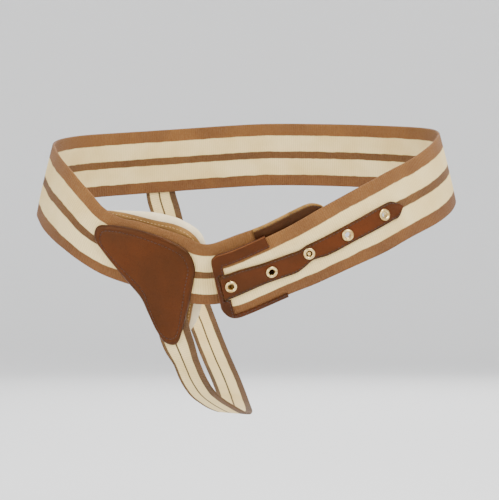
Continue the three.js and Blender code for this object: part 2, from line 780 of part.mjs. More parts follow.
function strapStations() {
  const tip = padRise + SHIELD_HEIGHT * Math.min(...SHIELD_OUTLINE.map((row) => row.up));
  const top = bandEdgeRise(PAD_TURN) - STRAP_TOP_ROOM;
  const start = STRAP_START.map((row) => laidStation(
    padArc + row.across * SHIELD_WIDTH, top - row.down * (top - tip), PAD_LIFT));
  const middle = pelvisPoint(STRAP_MIDDLE);
  const run = STRAP_RUN.map((row) => {
    const point = pelvisPoint(row);
    return { point, normal: point.clone().sub(middle).normalize(), sag: 0 };
  });
  const end = STRAP_END.map((row) => {
    const rise = bandEdgeRise(row.turn) + row.up * BAND_WIDTH - row.down * CROTCH_DROP;
    return laidStation(arcAt(row.turn), rise, GAP + row.over * BAND_THICKNESS);
  });
  return [...start, ...run, ...end];
}

// Height of the band's lower edge straight below its middle line at a turn
function bandEdgeRise(turn) {
  const length = lengthAtTurn(turn);
  const frame = bandFrame(length);
  return frame.rise - between(route, "length", length, "below") / frame.stepRise;
}

function strapGeometry() {
  const list = strapStations();
  const line = new THREE.CatmullRomCurve3(list.map((station) => station.point));
  const normals = new THREE.CatmullRomCurve3(list.map((station) => station.normal));
  const sags = new THREE.CatmullRomCurve3(
    list.map((station) => new THREE.Vector3(station.sag, 0, 0)), false, "catmullrom");
  const count = Math.round(line.getLength() / STRAP_STEP);
  const loops = [];
  for (let index = 0; index <= count; index++) {
    const share = line.getUtoTmapping(index / count);
    const forward = line.getTangent(share);
    const normal = normals.getPoint(share);
    normal.addScaledVector(forward, -normal.dot(forward)).normalize();
    loops.push(strapLoop(line.getPoint(share), forward, normal, sags.getPoint(share).x));
  }
  return loft(loops);
}

function strapLoop(point, forward, normal, sag) {
  const across = forward.clone().cross(normal);
  const row = (lift) => {
    const points = [];
    for (let column = 0; column <= STRAP_COLUMNS; column++) {
      const side = (2 * column) / STRAP_COLUMNS - 1;
      points.push(point.clone().addScaledVector(across, (side * STRAP_WIDTH) / 2)
        .addScaledVector(normal, lift - sag * side * side));
    }
    return points;
  };
  return [...row(STRAP_THICKNESS), ...row(0).reverse()];
}

const group = new THREE.Group();

function addMesh(name, geometry, finish) {
  const mesh = new THREE.Mesh(geometry, new THREE.MeshStandardMaterial(FINISHES[finish]));
  mesh.name = name;
  group.add(mesh);
  return mesh;
}

addMesh("hip_band", bandGeometry(), "webbing");
addMesh("leather_tip", tipGeometry(), "darkLeather");
addMesh("end_cap", capGeometry(), "darkLeather");
addMesh("eyelet_strip", stripGeometry(), "stripLeather");
eyeletPlaces().forEach((place, index) => {
  standOn(addMesh(`eyelet_${index + 1}`, eyeletGeometry(), "brass"), place);
});
standOn(addMesh("hook_stud", studGeometry(), "brass"), eyeletPlaces()[STUD_EYELET - 1]);
addMesh("leather_shield", layerGeometry(SHIELD_OUTLINE, SHIELD_WIDTH, SHIELD_HEIGHT,
  FLAT_SECTION, SHIELD_LIFT, SHIELD_THICKNESS), "darkLeather");
addMesh("pad_backing", layerGeometry(BACKING_OUTLINE, BACKING_WIDTH, BACKING_HEIGHT,
  FLAT_SECTION, BACKING_LIFT, BACKING_THICKNESS), "backing");
addMesh("pad_cushion", layerGeometry(CUSHION_OUTLINE, CUSHION_WIDTH, CUSHION_HEIGHT,
  CUSHION_SECTION, 0, CUSHION_THICKNESS), "cushion");
addMesh("leg_strap", strapGeometry(), "webbing");

export default group;
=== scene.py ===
"""Looks of a hernia belt: striped elastic webbing, leather ends, eyelets, groin pad, leg strap.

Sizes of the belt are millimetres, as in its solids, and become metres when a mesh is made.
The front faces -Y, +Z is up and the wearer's left is +X.
"""

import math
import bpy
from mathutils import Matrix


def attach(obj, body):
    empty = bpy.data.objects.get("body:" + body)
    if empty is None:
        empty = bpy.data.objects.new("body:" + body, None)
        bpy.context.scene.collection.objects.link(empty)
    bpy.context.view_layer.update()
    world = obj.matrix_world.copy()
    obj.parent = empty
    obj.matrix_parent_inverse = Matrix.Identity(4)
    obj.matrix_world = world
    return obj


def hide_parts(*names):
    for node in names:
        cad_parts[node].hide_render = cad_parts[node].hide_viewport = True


bl_info = {
    "name": "Hernia belt",
    "version": (1, 0, 0),
    "blender": (4, 5, 0),
    "location": "3D View > Sidebar > Belt",
    "description": "Builds a hernia belt with its weave, leather, stitches and eyelets",
    "category": "Object",
}

import bmesh
import bpy
import numpy as np
from mathutils import Vector

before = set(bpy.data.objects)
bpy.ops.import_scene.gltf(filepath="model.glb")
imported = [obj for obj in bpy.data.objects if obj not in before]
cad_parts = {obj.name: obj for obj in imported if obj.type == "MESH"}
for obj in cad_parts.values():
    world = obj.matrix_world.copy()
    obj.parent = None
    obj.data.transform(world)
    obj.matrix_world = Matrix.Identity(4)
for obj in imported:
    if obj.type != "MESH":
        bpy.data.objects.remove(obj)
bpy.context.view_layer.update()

MM = 0.001
BODY = "root"


def table(columns, *rows):
    """Columns of a short table by their names."""
    return dict(zip(columns, np.array(rows, float).T))


# Hips that the belt is laid round
HIP_WIDTH = 356
BELLY_DEPTH = 112
SEAT_DEPTH = 130
GROIN_SETBACK = 46
GROIN_TOP = -10
GROIN_HEIGHT = 150
LOIN_HOLLOW = 32
LOIN_HEIGHT = 170
WAIST_TAPER = 0.2
WAIST_HEIGHT = 210
WIDEST_RISE = -60
HIP_SQUARENESS = 2.3
GAP = 0.35

# Elastic band and the leather on its ends
BAND_WIDTH = 52
BAND_THICKNESS = 2
BAND_LOW = -57
BAND_CLIMB = 98
BAND_CORNER = 6
BAND_LOWER_CORNER = 11
LAP_CLIMB = 55
BACK_FROM = 100
BACK_TO = 270
TIP_THICKNESS = 1.6
TIP_LENGTH = 62
TIP_EDGE = 0.5
TIP_CORNER = 14
CAP_THICKNESS = 1.4
CAP_LENGTH = 48
CAP_END_BORDER = 7
CAP_BACK_BORDER = 3.5
CAP_TOP_BORDER = 7.5
CAP_BOTTOM_BORDER = 2.5
CAP_LEAST_BORDER = 1.5

# Eyelet strip, eyelets and stud
STRIP_WIDTH = 15
STRIP_LENGTH = 156
STRIP_FROM_END = 2.5
STRIP_THICKNESS = 2
EYELET_COUNT = 5
EYELET_FIRST = 6.6
EYELET_LAST = 20
EYELET_OUTER = 9.6
EYELET_HOLE = 4.8
EYELET_WALL = 0.5
EYELET_FLANGE = 0.6
EYELET_CROWN = 0.5
STUD_EYELET = 3
STUD_DIAMETER = 3.2
STUD_BASE = 7.5
STUD_BASE_THICKNESS = 0.6

# Groin pad
PAD_TURN = 37
CUSHION_WIDTH = 80
CUSHION_HEIGHT = 104
CUSHION_THICKNESS = 11
BACKING_WIDTH = 76
BACKING_HEIGHT = 100
BACKING_THICKNESS = 2
SHIELD_WIDTH = 72
SHIELD_HEIGHT = 90
SHIELD_THICKNESS = 3
PAD_RAMP_OUTER = 90
PAD_RAMP_INNER = 75
OUTLINE_MIDDLE = np.array((-0.05, -0.1))

# Leg strap
STRAP_WIDTH = 26
STRAP_THICKNESS = 1.8
STRAP_TOP_ROOM = 8
CROTCH_DROP = 175
STRAP_MIDDLE = (0, 0, 0.34)

BAND_ROUTE = table(
    ("turn", "rise", "above", "below"), (-33, 0.348, 0.48, 0.48), (-25, 0.262, 0.48, 0.48),
    (-18, 0.192, 0.48, 0.48), (-10, 0.133, 0.47, 0.47), (0, 0.08, 0.47, 0.47),
    (13, 0.012, 0.47, 0.46), (22, 0.01, 0.48, 0.46), (31, 0.058, 0.52, 0.44),
    (43, 0.139, 0.52, 0.41), (48.5, 0.2, 0.47, 0.42), (54, 0.307, 0.43, 0.46),
    (60, 0.444, 0.5, 0.53), (67, 0.557, 0.59, 0.55), (79, 0.69, 0.62, 0.54), (95, 0.78, 0.6, 0.54),
    (120, 0.89, 0.55, 0.54), (180, 1, 0.53, 0.54), (215, 1, 0.53, 0.54), (245, 0.955, 0.54, 0.55),
    (268, 0.885, 0.55, 0.56), (280, 0.82, 0.55, 0.57), (289, 0.73, 0.55, 0.57),
    (298, 0.622, 0.54, 0.56), (306, 0.526, 0.54, 0.55), (314, 0.42, 0.53, 0.54),
    (322, 0.316, 0.51, 0.52), (330, 0.212, 0.5, 0.5), (338, 0.122, 0.5, 0.49),
    (349, 0.034, 0.5, 0.48), (358, -0.022, 0.5, 0.48), (366, -0.063, 0.5, 0.48),
    (372.5, -0.087, 0.5, 0.48),
)
SHIELD_OUTLINE = table(
    ("across", "up"), (0.53, 0.2), (0.485, 0.285), (0.35, 0.298), (0.14, 0.28), (-0.06, 0.243),
    (-0.257, 0.184), (-0.417, 0.097), (-0.463, -0.02), (-0.43, -0.13), (-0.36, -0.27),
    (-0.278, -0.404), (-0.143, -0.587), (-0.04, -0.69), (0.035, -0.708), (0.12, -0.68),
    (0.165, -0.58), (0.185, -0.42), (0.2, -0.29), (0.267, -0.178), (0.36, -0.045), (0.46, 0.09),
)
BACKING_OUTLINE = table(
    ("across", "up"), (0.46, 0.27), (0.42, 0.36), (0.25, 0.36), (0.1, 0.338), (-0.1, 0.302),
    (-0.29, 0.272), (-0.43, 0.218), (-0.52, 0.12), (-0.53, -0.09), (-0.335, -0.33), (-0.255, -0.46),
    (-0.155, -0.567), (-0.02, -0.62), (0.11, -0.57), (0.155, -0.46), (0.175, -0.3), (0.245, -0.165),
    (0.34, -0.04), (0.43, 0.1),
)
CUSHION_OUTLINE = table(
    ("across", "up"), (0.46, 0.24), (0.47, 0.33), (0.42, 0.378), (0.3, 0.386), (0.13, 0.38),
    (-0.05, 0.37), (-0.23, 0.342), (-0.41, 0.28), (-0.51, 0.21), (-0.56, 0.1), (-0.55, -0.1),
    (-0.43, -0.34), (-0.35, -0.455), (-0.23, -0.558), (-0.1, -0.612), (0.03, -0.59), (0.11, -0.48),
    (0.15, -0.29), (0.225, -0.135), (0.33, -0.02), (0.42, 0.12),
)
STRIP_TABLE = table(
    ("along", "above", "below"), (0, 0.78, -0.58), (0.04, 0.8, -0.53), (0.115, 0.8, -0.48),
    (0.218, 0.655, -0.48), (0.32, 0.547, -0.6), (0.372, 0.49, -0.633), (0.42, 0.44, -0.5),
    (0.462, 0.49, -0.37), (0.538, 0.46, -0.51), (0.705, 0.433, -0.513), (0.917, 0.453, -0.533),
    (0.95, 0.37, -0.55), (1, -0.07, -0.2),
)
STRAP_START = table(("across", "down"), (-0.04, 0), (-0.042, 0.45), (-0.038, 0.9))
STRAP_RUN = (
    (0.272, -0.75, 0.754), (0.242, -0.705, 0.829), (0.202, -0.625, 0.895), (0.152, -0.51, 0.941),
    (0.1, -0.375, 0.977), (0.068, -0.18, 0.998), (0.05, 0.06, 1), (0.062, 0.29, 0.971),
    (0.1, 0.54, 0.88), (0.163, 0.755, 0.743), (0.236, 0.905, 0.56),
)
STRAP_END = table(
    ("turn", "up", "down", "over"), (155.5, 0, 0.4, 0), (151, 0, 0.2, 0), (148, 0, 0.08, 0.1),
    (146.3, 0, 0.022, 1), (144.8, 0.16, 0, 1), (142.5, 0.5, 0, 1), (140.5, 0.88, 0, 1),
)

SHIELD = SHIELD_OUTLINE, SHIELD_WIDTH, SHIELD_HEIGHT
BACKING = BACKING_OUTLINE, BACKING_WIDTH, BACKING_HEIGHT
CUSHION = CUSHION_OUTLINE, CUSHION_WIDTH, CUSHION_HEIGHT

# Fineness of the meshes and length of the filling's simulation
FRONT_STEP = 2.2
BACK_STEP = 4
BAND_COLUMNS = 26
EDGE_TURN = 30
OUTLINE_POINTS = 220
LATHE_SIDES = 40
STRAP_STEP = 2.0
FILLING_FRAMES = 20
NEAR_END = np.array((0.002, 0.015, 0.05, 0.11, 0.19, 0.3, 0.43, 0.58, 0.76, 1))
POLE_SHARE = 0.04
PAD_RINGS = 9
# Reach of the shield rim's darker edge colour: rubbed leather and painted shade
RIM_RUBBING_AND_SHADE_REACH = 8
CUT_ROUNDING = 0.8

# Insets of the seams from the edges, and the cushion's form
STRIP_SEAM = 1.7
CAP_SEAM = 1.2
TIP_SEAM = 2.2
SHIELD_SEAM = 5.5
BACKING_SEAM = 2.6
CUSHION_INSET = 0.9
CUSHION_ROOM = 1.6
CUSHION_MESH = 4
CUSHION_SEAM = 0.6
SEAM_WIDTH = 1.3
SEAM_PINCH = 0.6
PUCKER = 0.3
PUCKER_PITCH = 7.5

# Stage, in metres
CAMERA_PLACE = (0.0016, -2.2, -0.0417)
CAMERA_LENS = 190.08
AIM = (0, 0, -0.04)
FLOOR_RISE = -0.3
FLOOR_RADIUS = 3.4
FLOOR_SWEEP = 1.2
FLOOR_TOP = 5
FLOOR_SIDES = 96


# The hips and the band's place on them, as in the solids


def unit(vectors):
    return vectors / np.linalg.norm(vectors, axis=-1, keepdims=True)


def dot(a, b):
    return (a * b).sum(-1)


def ease(share):
    t = np.clip(share, 0, 1)
    return t * t * (3 - 2 * t)


def hip_point(turn, rise):
    """Point of the hip form in a direction round the body, at a height."""
    turn, rise = np.broadcast_arrays(np.asarray(turn, float), np.asarray(rise, float))
    side, front = np.sin(np.radians(turn)), np.cos(np.radians(turn))
    half = HIP_WIDTH / 2 * (1 - WAIST_TAPER * ease((rise - WIDEST_RISE) / WAIST_HEIGHT))
    belly = BELLY_DEPTH - GROIN_SETBACK * ease((GROIN_TOP - rise) / GROIN_HEIGHT)
    seat = SEAT_DEPTH - LOIN_HOLLOW * ease((rise - WIDEST_RISE) / LOIN_HEIGHT)
    depth = np.where(front > 0, belly, seat)
    total = (abs(front) / depth) ** HIP_SQUARENESS + (abs(side) / half) ** HIP_SQUARENESS
    reach = total ** (-1 / HIP_SQUARENESS)
    return np.stack([-reach * side, -reach * front, rise], -1)


FIRST_DEGREE = -60
DEGREES = np.arange(FIRST_DEGREE, 431)
steps = np.linalg.norm(np.diff(hip_point(DEGREES, BAND_LOW), axis=0), axis=1)
ARCS = np.concatenate([[0], np.cumsum(steps)])
FRONT_ARC = ARCS[-FIRST_DEGREE]
GIRTH = ARCS[360 - FIRST_DEGREE] - FRONT_ARC


def arc_at(turn):
    return np.interp(turn, DEGREES, ARCS) - FRONT_ARC


def hip_at(arc, rise):
    return hip_point(np.interp(arc + FRONT_ARC, ARCS, DEGREES), rise)


def hip_frame(arc, rise):
    along = (hip_at(arc + 1, rise) - hip_at(arc - 1, rise)) / 2
    upward = (hip_at(arc, rise + 1) - hip_at(arc, rise - 1)) / 2
    return hip_at(arc, rise), along, upward, unit(np.cross(upward, along))


def laid(arc, rise, lift):
    """Point at a lift above the hip form."""
    arc, rise, lift = np.broadcast_arrays(*(np.asarray(x, float) for x in (arc, rise, lift)))
    point, _, _, normal = hip_frame(arc, rise)
    return point + normal * lift[..., None]


def hermite(t, start, start_slope, end, end_slope):
    """Value at a share t of the way between two values with slopes."""
    return (
        (2 * t**3 - 3 * t**2 + 1) * start
        + (t**3 - 2 * t**2 + t) * start_slope
        + (3 * t**2 - 2 * t**3) * end
        + (t**3 - t**2) * end_slope
    )


def between(rows, key, value, column):
    """Value between the rows of a table, on a smooth curve through them."""
    x, y = rows[key], rows[column]
    value = np.asarray(value, float)
    i = np.clip(np.searchsorted(x, value, side="right") - 1, 0, len(x) - 2)
    before, after = np.maximum(i - 1, 0), np.minimum(i + 2, len(x) - 1)
    span = x[i + 1] - x[i]
    start_slope = (y[i + 1] - y[before]) / (x[i + 1] - x[before]) * span
    end_slope = (y[after] - y[i]) / (x[after] - x[i]) * span
    return hermite((value - x[i]) / span, y[i], start_slope, y[i + 1], end_slope)


def band_rise(turn):
    return BAND_LOW + BAND_CLIMB * between(BAND_ROUTE, "turn", turn, "rise")


def measured(points):
    return np.concatenate([[0], np.cumsum(np.linalg.norm(np.diff(points, axis=0), axis=1))])


ROUTE_STEP = 0.5
FIRST_TURN, LAST_TURN = BAND_ROUTE["turn"][0], BAND_ROUTE["turn"][-1]
turns = np.arange(FIRST_TURN, LAST_TURN + ROUTE_STEP / 2, ROUTE_STEP)
middle_line = hip_point(turns, band_rise(turns))
ROUTE = {
    "turn": turns,
    "length": measured(middle_line),
    "arc": arc_at(turns),
    "rise": middle_line[:, 2],
    "above": BAND_WIDTH * between(BAND_ROUTE, "turn", turns, "above"),
    "below": BAND_WIDTH * between(BAND_ROUTE, "turn", turns, "below"),
}
BAND_LENGTH = ROUTE["length"][-1]


def on_route(length, column):
    return between(ROUTE, "length", length, column)


def length_at_turn(turn):
    return np.interp(turn, ROUTE["turn"], ROUTE["length"])


def surface_step(along, upward, direction):
    """Change of arc and rise for one millimetre along a direction in the surface."""
    aa, au, uu = dot(along, along), dot(along, upward), dot(upward, upward)
    da, du = dot(direction, along), dot(direction, upward)
    scale = 1 / (aa * uu - au * au)
    return (da * uu - du * au) * scale, (du * aa - da * au) * scale


BACKING_LIFT = CUSHION_THICKNESS + GAP
PAD_LIFT = BACKING_LIFT + BACKING_THICKNESS + GAP
SHIELD_LIFT = PAD_LIFT + max(BAND_THICKNESS, STRAP_THICKNESS) + GAP
PAD_ARC, PAD_RISE = float(arc_at(PAD_TURN)), float(band_rise(PAD_TURN))
PAD_LAYERS = SHIELD, BACKING, CUSHION
pad_edges = np.concatenate([PAD_ARC + rows["across"] * width for rows, width, _ in PAD_LAYERS])


def ramp_lift(arc):
    """How far the pad holds the band off the body."""
    place = np.where(arc > arc_at(BACK_TO), arc - GIRTH, arc)
    outer = ease((pad_edges.max() + PAD_RAMP_OUTER - place) / PAD_RAMP_OUTER)
    inner = ease((place - pad_edges.min() + PAD_RAMP_INNER) / PAD_RAMP_INNER)
    return PAD_LIFT * np.minimum(outer, inner)


STUD_ROOM = STUD_BASE_THICKNESS + EYELET_FLANGE + 3 * GAP
CAP_ROOM = CAP_THICKNESS + 2 * GAP
TIP_LIFT = BAND_THICKNESS + GAP
LAP_LIFT = TIP_LIFT + TIP_THICKNESS + max(STUD_ROOM, CAP_ROOM)
LAP_FULL = length_at_turn(FIRST_TURN + 360) - BAND_WIDTH / 2


def across_band(length):
    """Arc and rise of the band's middle line, and their changes for one millimetre across."""
    arc, rise = on_route(length, "arc"), on_route(length, "rise")
    _, along, upward, normal = hip_frame(arc, rise)
    d_arc = on_route(length + 1, "arc") - on_route(length - 1, "arc")
    d_rise = on_route(length + 1, "rise") - on_route(length - 1, "rise")
    forward = unit(along * d_arc[..., None] + upward * d_rise[..., None])
    return arc, rise, *surface_step(along, upward, np.cross(forward, normal))


def band_point(length, width, height):
    """Point of the band: along it, across it from its middle line, above its inner face."""
    length, width, height = (np.asarray(x, float) for x in (length, width, height))
    arc, rise, step_arc, step_rise = across_band(length)
    place = arc + step_arc * width
    lap = LAP_LIFT * ease((length - LAP_FULL + LAP_CLIMB) / LAP_CLIMB)
    return laid(place, rise + step_rise * width, ramp_lift(place) + lap + height)


def band_normal(length, width, height):
    along = band_point(length + 1, width, height) - band_point(length - 1, width, height)
    across = band_point(length, width + 1, height) - band_point(length, width - 1, height)
    return unit(np.cross(across, along))


def band_edges(length, margin, distance, corner, lower_corner=None):
    """Low and high side of the band, moved out by a margin and rounded near one end."""

    def cut(radius):
        inside = np.clip(distance, 0, radius)
        return radius - np.sqrt(radius**2 - (radius - inside) ** 2) - margin

    low = cut(lower_corner or corner) - on_route(length, "below")
    return low, on_route(length, "above") - cut(corner)


STRIP_LIFT = BAND_THICKNESS + GAP
STRIP_TOP = STRIP_LIFT + STRIP_THICKNESS
STRIP_START = BAND_LENGTH - STRIP_FROM_END


def strip_edges(length):
    along = (STRIP_START - np.asarray(length, float)) / STRIP_LENGTH
    low = STRIP_WIDTH * between(STRIP_TABLE, "along", along, "below")
    return low, STRIP_WIDTH * between(STRIP_TABLE, "along", along, "above")


def eyelet_places():
    """Length and width of each eyelet's middle on the band."""
    pitch = (STRIP_LENGTH - EYELET_FIRST - EYELET_LAST) / (EYELET_COUNT - 1)
    lengths = STRIP_START - EYELET_FIRST - pitch * np.arange(EYELET_COUNT)
    low, high = strip_edges(lengths)
    return list(zip(lengths, (low + high) / 2))


def band_edge_rise(turn):
    """Height of the band's lower edge straight below its middle line."""
    length = length_at_turn(turn)
    _, rise, _, step_rise = across_band(length)
    return float(rise - on_route(length, "below") / step_rise)


# Smooth curves through points


def through(points, closed, count, centripetal=True):
    """Fine points of a smooth curve through points."""
    p = np.asarray(points, float)
    if closed:
        p = np.concatenate([p[-1:], p, p[:2]])
    else:
        p = np.concatenate([2 * p[:1] - p[1:2], p, 2 * p[-1:] - p[-2:-1]])
    segments = len(p) - 3
    place = np.linspace(0, segments, count + 1)
    i = np.minimum(place.astype(int), segments - 1)
    a, b, c, d = (p[i + k] for k in range(4))
    if centripetal:
        ab, bc, cd = (
            np.maximum(np.linalg.norm(y - x, axis=1, keepdims=True), 1e-9) ** 0.5
            for x, y in ((a, b), (b, c), (c, d))
        )
        start = ((b - a) / ab - (c - a) / (ab + bc) + (c - b) / bc) * bc
        end = ((c - b) / bc - (d - b) / (bc + cd) + (d - c) / cd) * bc
    else:
        start, end = (c - a) / 2, (d - b) / 2
    return hermite((place - i)[:, None], b, start, c, end)


def sampled(at, lengths, values):
    """Values along a line, at other lengths."""
    return np.apply_along_axis(lambda column: np.interp(at, lengths, column), 0, values)


def spaced(points, count):
    """Points at equal distances along a fine line."""
    lengths = measured(points)
    return sampled(np.linspace(0, lengths[-1], count + 1), lengths, points)


def pad_outline(rows, width, height, count=OUTLINE_POINTS):
    """A pad layer's outline in its own flat plane, across and up, and its middle."""
    corners = np.stack([rows["across"] * width, rows["up"] * height], -1)
    fine = through(corners, True, 40 * len(corners))
    return spaced(fine, count)[:-1], OUTLINE_MIDDLE * (width, height)


def pad_point(flat, lift):
    """Point of the pad from its place across and up in the pad's flat plane."""
    return laid(PAD_ARC + flat[..., 0], PAD_RISE + flat[..., 1], lift)


def pad_ring(rim, middle, inset):
    """The outline moved towards the middle by a distance."""
    inward = middle - rim
    return rim + unit(inward) * np.minimum(inset, 0.95 * np.linalg.norm(inward, axis=1))[:, None]


# Meshes


def shown_object(name, data):
    piece = bpy.data.objects.new(name, data)
    bpy.context.scene.collection.objects.link(piece)
    return piece


def dress_mesh(mesh, uvs=None, edge=None):
    """Turns a mesh's faces outwards, smooths it and gives its points their own UVs."""
    build = bmesh.new()
    build.from_mesh(mesh)
    bmesh.ops.recalc_face_normals(build, faces=build.faces)
    build.to_mesh(mesh)
    build.free()
    corners = np.empty(len(mesh.loops), int)
    mesh.loops.foreach_get("vertex_index", corners)
    for layer, values in (("UVMap", uvs), ("Edge", edge)):
        if values is not None:
            data = mesh.uv_layers.new(name=layer).data
            data.foreach_set("uv", np.asarray(values, np.float32)[corners].ravel())
    mesh.shade_smooth()


def mesh_object(name, points, faces, uvs=None, crease=None, edge=None):
    """Object of a closed mesh in metres, sharp where it bends by more than the crease."""
    mesh = bpy.data.meshes.new(name)
    mesh.from_pydata((np.asarray(points) * MM).tolist(), [], [tuple(f) for f in faces])
    dress_mesh(mesh, uvs, edge)
    if crease is not None:
        mesh.set_sharp_from_angle(angle=math.radians(crease))
    return shown_object(name, mesh)


def grid_faces(rows, columns, wrap):
    """Faces of a grid of points whose columns run round a loop if wrap."""
    last = columns if wrap else columns - 1
    row, column = np.meshgrid(np.arange(rows - 1), np.arange(last), indexing="ij")
    after = (column + 1) % columns
    a, b = row * columns, (row + 1) * columns
    quads = np.stack([a + column, a + after, b + after, b + column], -1)
    return quads.reshape(-1, 4).tolist()


def end_faces(start, count):
    """Faces between the outer and the inner half of a loop."""
    half = count // 2
    return [
        (start + k, start + count - 1 - k, start + count - 2 - k, start + k + 1)
        for k in range(half - 1)
    ]


def loft(name, points, uvs, crease=None, edge=None):
    """Closed strip through section loops of equally many points."""
    rows, columns = points.shape[:2]
    faces = grid_faces(rows, columns, True)
    faces += end_faces(0, columns) + end_faces((rows - 1) * columns, columns)
    edge = None if edge is None else edge.reshape(-1, 2)
    return mesh_object(name, points.reshape(-1, 3), faces, uvs.reshape(-1, 2), crease, edge)


def flat_section(columns):
    """Loop round a strip's section from the middle of its low edge: share across, then
    outset and height in half thicknesses."""
    share, flat = np.linspace(0, 1, columns + 1), np.zeros(columns + 1)
    up, over, under = (
        np.radians(np.arange(first, last, step))
        for first, last, step in ((0, 90, EDGE_TURN), (60, -90, -EDGE_TURN), (-60, 0, EDGE_TURN))
    )
    shares = np.concatenate([0 * up, share, 1 + 0 * over, share[::-1], 0 * under])
    outset = np.concatenate([-np.cos(up), flat, np.cos(over), flat, -np.cos(under)])
    height = np.concatenate([np.sin(up), flat + 1, np.sin(over), flat - 1, np.sin(under)])
    return shares, outset, height


def strip_lengths(start, end, corner_start, corner_end, step=FRONT_STEP):
    """Stations of a strip, close together at its rounded ends."""
    first, last = start + corner_start * NEAR_END, end - corner_end * NEAR_END[::-1]
    count = math.ceil((last[0] - first[-1]) / step)
    return np.concatenate([first, np.linspace(first[-1], last[0], count + 1)[1:-1], last])


def section_loop(low, high, thickness, columns, taper):
    """Widths, heights and shares of a strip's loops from its edges at each station."""
    share, outset, height = flat_section(columns)
    half = thickness / 2
    low, high = low[:, None], high[:, None]
    half_row = np.minimum(half, (high - low) / 2.2) * np.ones_like(low)
    width = low + half_row + share * (high - low - 2 * half_row) + half_row * outset
    lift = half + half * height * taper[:, None]
    v = 2 * (width - low) / np.maximum(high - low, 1e-3) - 1
    return width, lift, v


def end_taper(lengths, round_off):
    """Half thickness of a strip near its ends, as a share, for worn cut ends."""
    from_end = np.minimum(lengths - lengths[0], lengths[-1] - lengths)
    inside = 1 - np.clip(from_end / round_off, 0, 1)
    return np.maximum(np.sqrt(1 - inside**2), 0.3)


def laid_strip(name, lengths, edges, inner, thickness, columns, round_off=CUT_ROUNDING):
    low, high = edges(lengths)
    taper = end_taper(lengths, round_off)
    width, lift, v = section_loop(low, high, thickness, columns, taper)
    along = lengths[:, None] * np.ones_like(width)
    points = band_point(along, width, inner + lift)
    return loft(name, points, np.stack([along * MM, v], -1))


def evaluated_copy(piece):
    """The piece with its modifiers applied."""
    shown = piece.evaluated_get(bpy.context.evaluated_depsgraph_get())
    mesh = bpy.data.meshes.new_from_object(shown)
    piece.modifiers.clear()
    piece.data = mesh
    return piece


def lathe(name, profile, places, closed):
    """Rings turned round an axis at each place; a profile that isn't closed ends on it."""
    points, faces, count = [], [], LATHE_SIDES
    angles = np.linspace(0, 2 * math.pi, count, endpoint=False)[:, None]
    for origin, axis in places:
        side = unit(np.cross(axis, (0.3, 0.2, 1)))
        round_axis = np.cos(angles) * side + np.sin(angles) * np.cross(axis, side)
        start = len(points)
        for radius, height in profile:
            points.extend(origin + axis * height + radius * round_axis)
        faces += [[start + v for v in f] for f in grid_faces(len(profile), count, True)]
        last = len(points) - count
        if closed:
            faces += [
                (last + k, last + (k + 1) % count, start + (k + 1) % count, start + k)
                for k in range(count)
            ]
        else:
            faces += [range(start, start + count), range(last, last + count)]
    return mesh_object(name, points, faces, crease=50)


def eyelet_axes():
    """Place and direction of each eyelet's axis, from the band's inner face."""
    lengths, widths = (np.array(values) for values in zip(*eyelet_places()))
    return list(zip(band_point(lengths, widths, 0), band_normal(lengths, widths, 0)))


def pierce(piece):
    """Cuts the eyelets' holes through a piece."""
    bore = EYELET_HOLE / 2 + EYELET_WALL + GAP
    ends = -BAND_THICKNESS / 2, 2 * STRIP_TOP
    drill = lathe("drill", [(bore, end) for end in ends], eyelet_axes(), False)
    holes = piece.modifiers.new("holes", "BOOLEAN")
    holes.operation = "DIFFERENCE"
    holes.solver = "EXACT"
    holes.object = drill
    evaluated_copy(piece)
    bpy.data.objects.remove(drill)
    return piece


def capped(loops, poles):
    """Points and faces of a closed body through loops, with a pole at each end."""
    points, count = np.concatenate(loops), len(loops[0])
    total, last = len(points), len(points) - count
    faces = grid_faces(len(loops), count, True)
    faces += [(total, (k + 1) % count, k) for k in range(count)]
    faces += [(total + 1, last + k, last + (k + 1) % count) for k in range(count)]
    return np.concatenate([points, poles]), faces


def pad_layer(name, sizes, section, lift):
    """Flat layer of the pad: section gives inset and height from the outer face's inner
    edge, round the rim, to the inner face."""
    rim, middle = pad_outline(*sizes)
    loops, edges = [], []
    shares = np.linspace(POLE_SHARE, 1, PAD_RINGS)[:-1]

    def add(points, above, distance):
        loops.append(pad_point(points, lift + above))
        # The Edge layer marks the rim, where the shield's leather lays its darker colour: rubbed
        # leather and painted shade
        edges.append(np.full((len(points), 2), (max(0.0, 1 - distance / RIM_RUBBING_AND_SHADE_REACH), above)))

    def face(row, steps):
        inset, above = row
        for share in steps:
            add(middle + (pad_ring(rim, middle, inset) - middle) * share, above, RIM_RUBBING_AND_SHADE_REACH)

    face(section[0], shares)
    for inset, above in section:
        add(pad_ring(rim, middle, inset), above, inset)
    face(section[-1], shares[::-1])
    ends = section[0][1], section[-1][1]
    poles = [pad_point(middle, lift + above) for above in ends]
    points, faces = capped(loops, poles)
    edge = np.concatenate([*edges, np.zeros((2, 2))])
    flat = (points - points.mean(0))[:, (0, 2)] * MM
    return mesh_object(name, points, faces, flat, 40, edge)


# Shader nodes


def give(tree, node, inputs):
    """Sets a node's inputs; each is a value or another node's output."""
    for key, value in dict(inputs).items():
        if isinstance(value, bpy.types.NodeSocket):
            tree.links.new(value, node.inputs[key])
        else:
            node.inputs[key].default_value = value


def put(tree, kind, inputs=(), **settings):
    """New node in a tree with its settings and inputs."""
    node = tree.nodes.new(kind)
    for key, value in settings.items():
        setattr(node, key, value)
    give(tree, node, inputs)
    return node


def maths(tree, operation, *values, clamp=False):
    inputs = enumerate(values)
    return put(tree, "ShaderNodeMath", inputs, operation=operation, use_clamp=clamp).outputs[0]


def scaled(tree, value, factor, offset, clamp=False):
    """Value times a factor, plus an offset."""
    return maths(tree, "MULTIPLY_ADD", value, factor, offset, clamp=clamp)


def mixed(tree, share, first, second, blend="MIX"):
    """Mix of two colours."""
    inputs = {0: share, 6: first, 7: second}
    return put(tree, "ShaderNodeMix", inputs, data_type="RGBA", blend_type=blend).outputs[2]


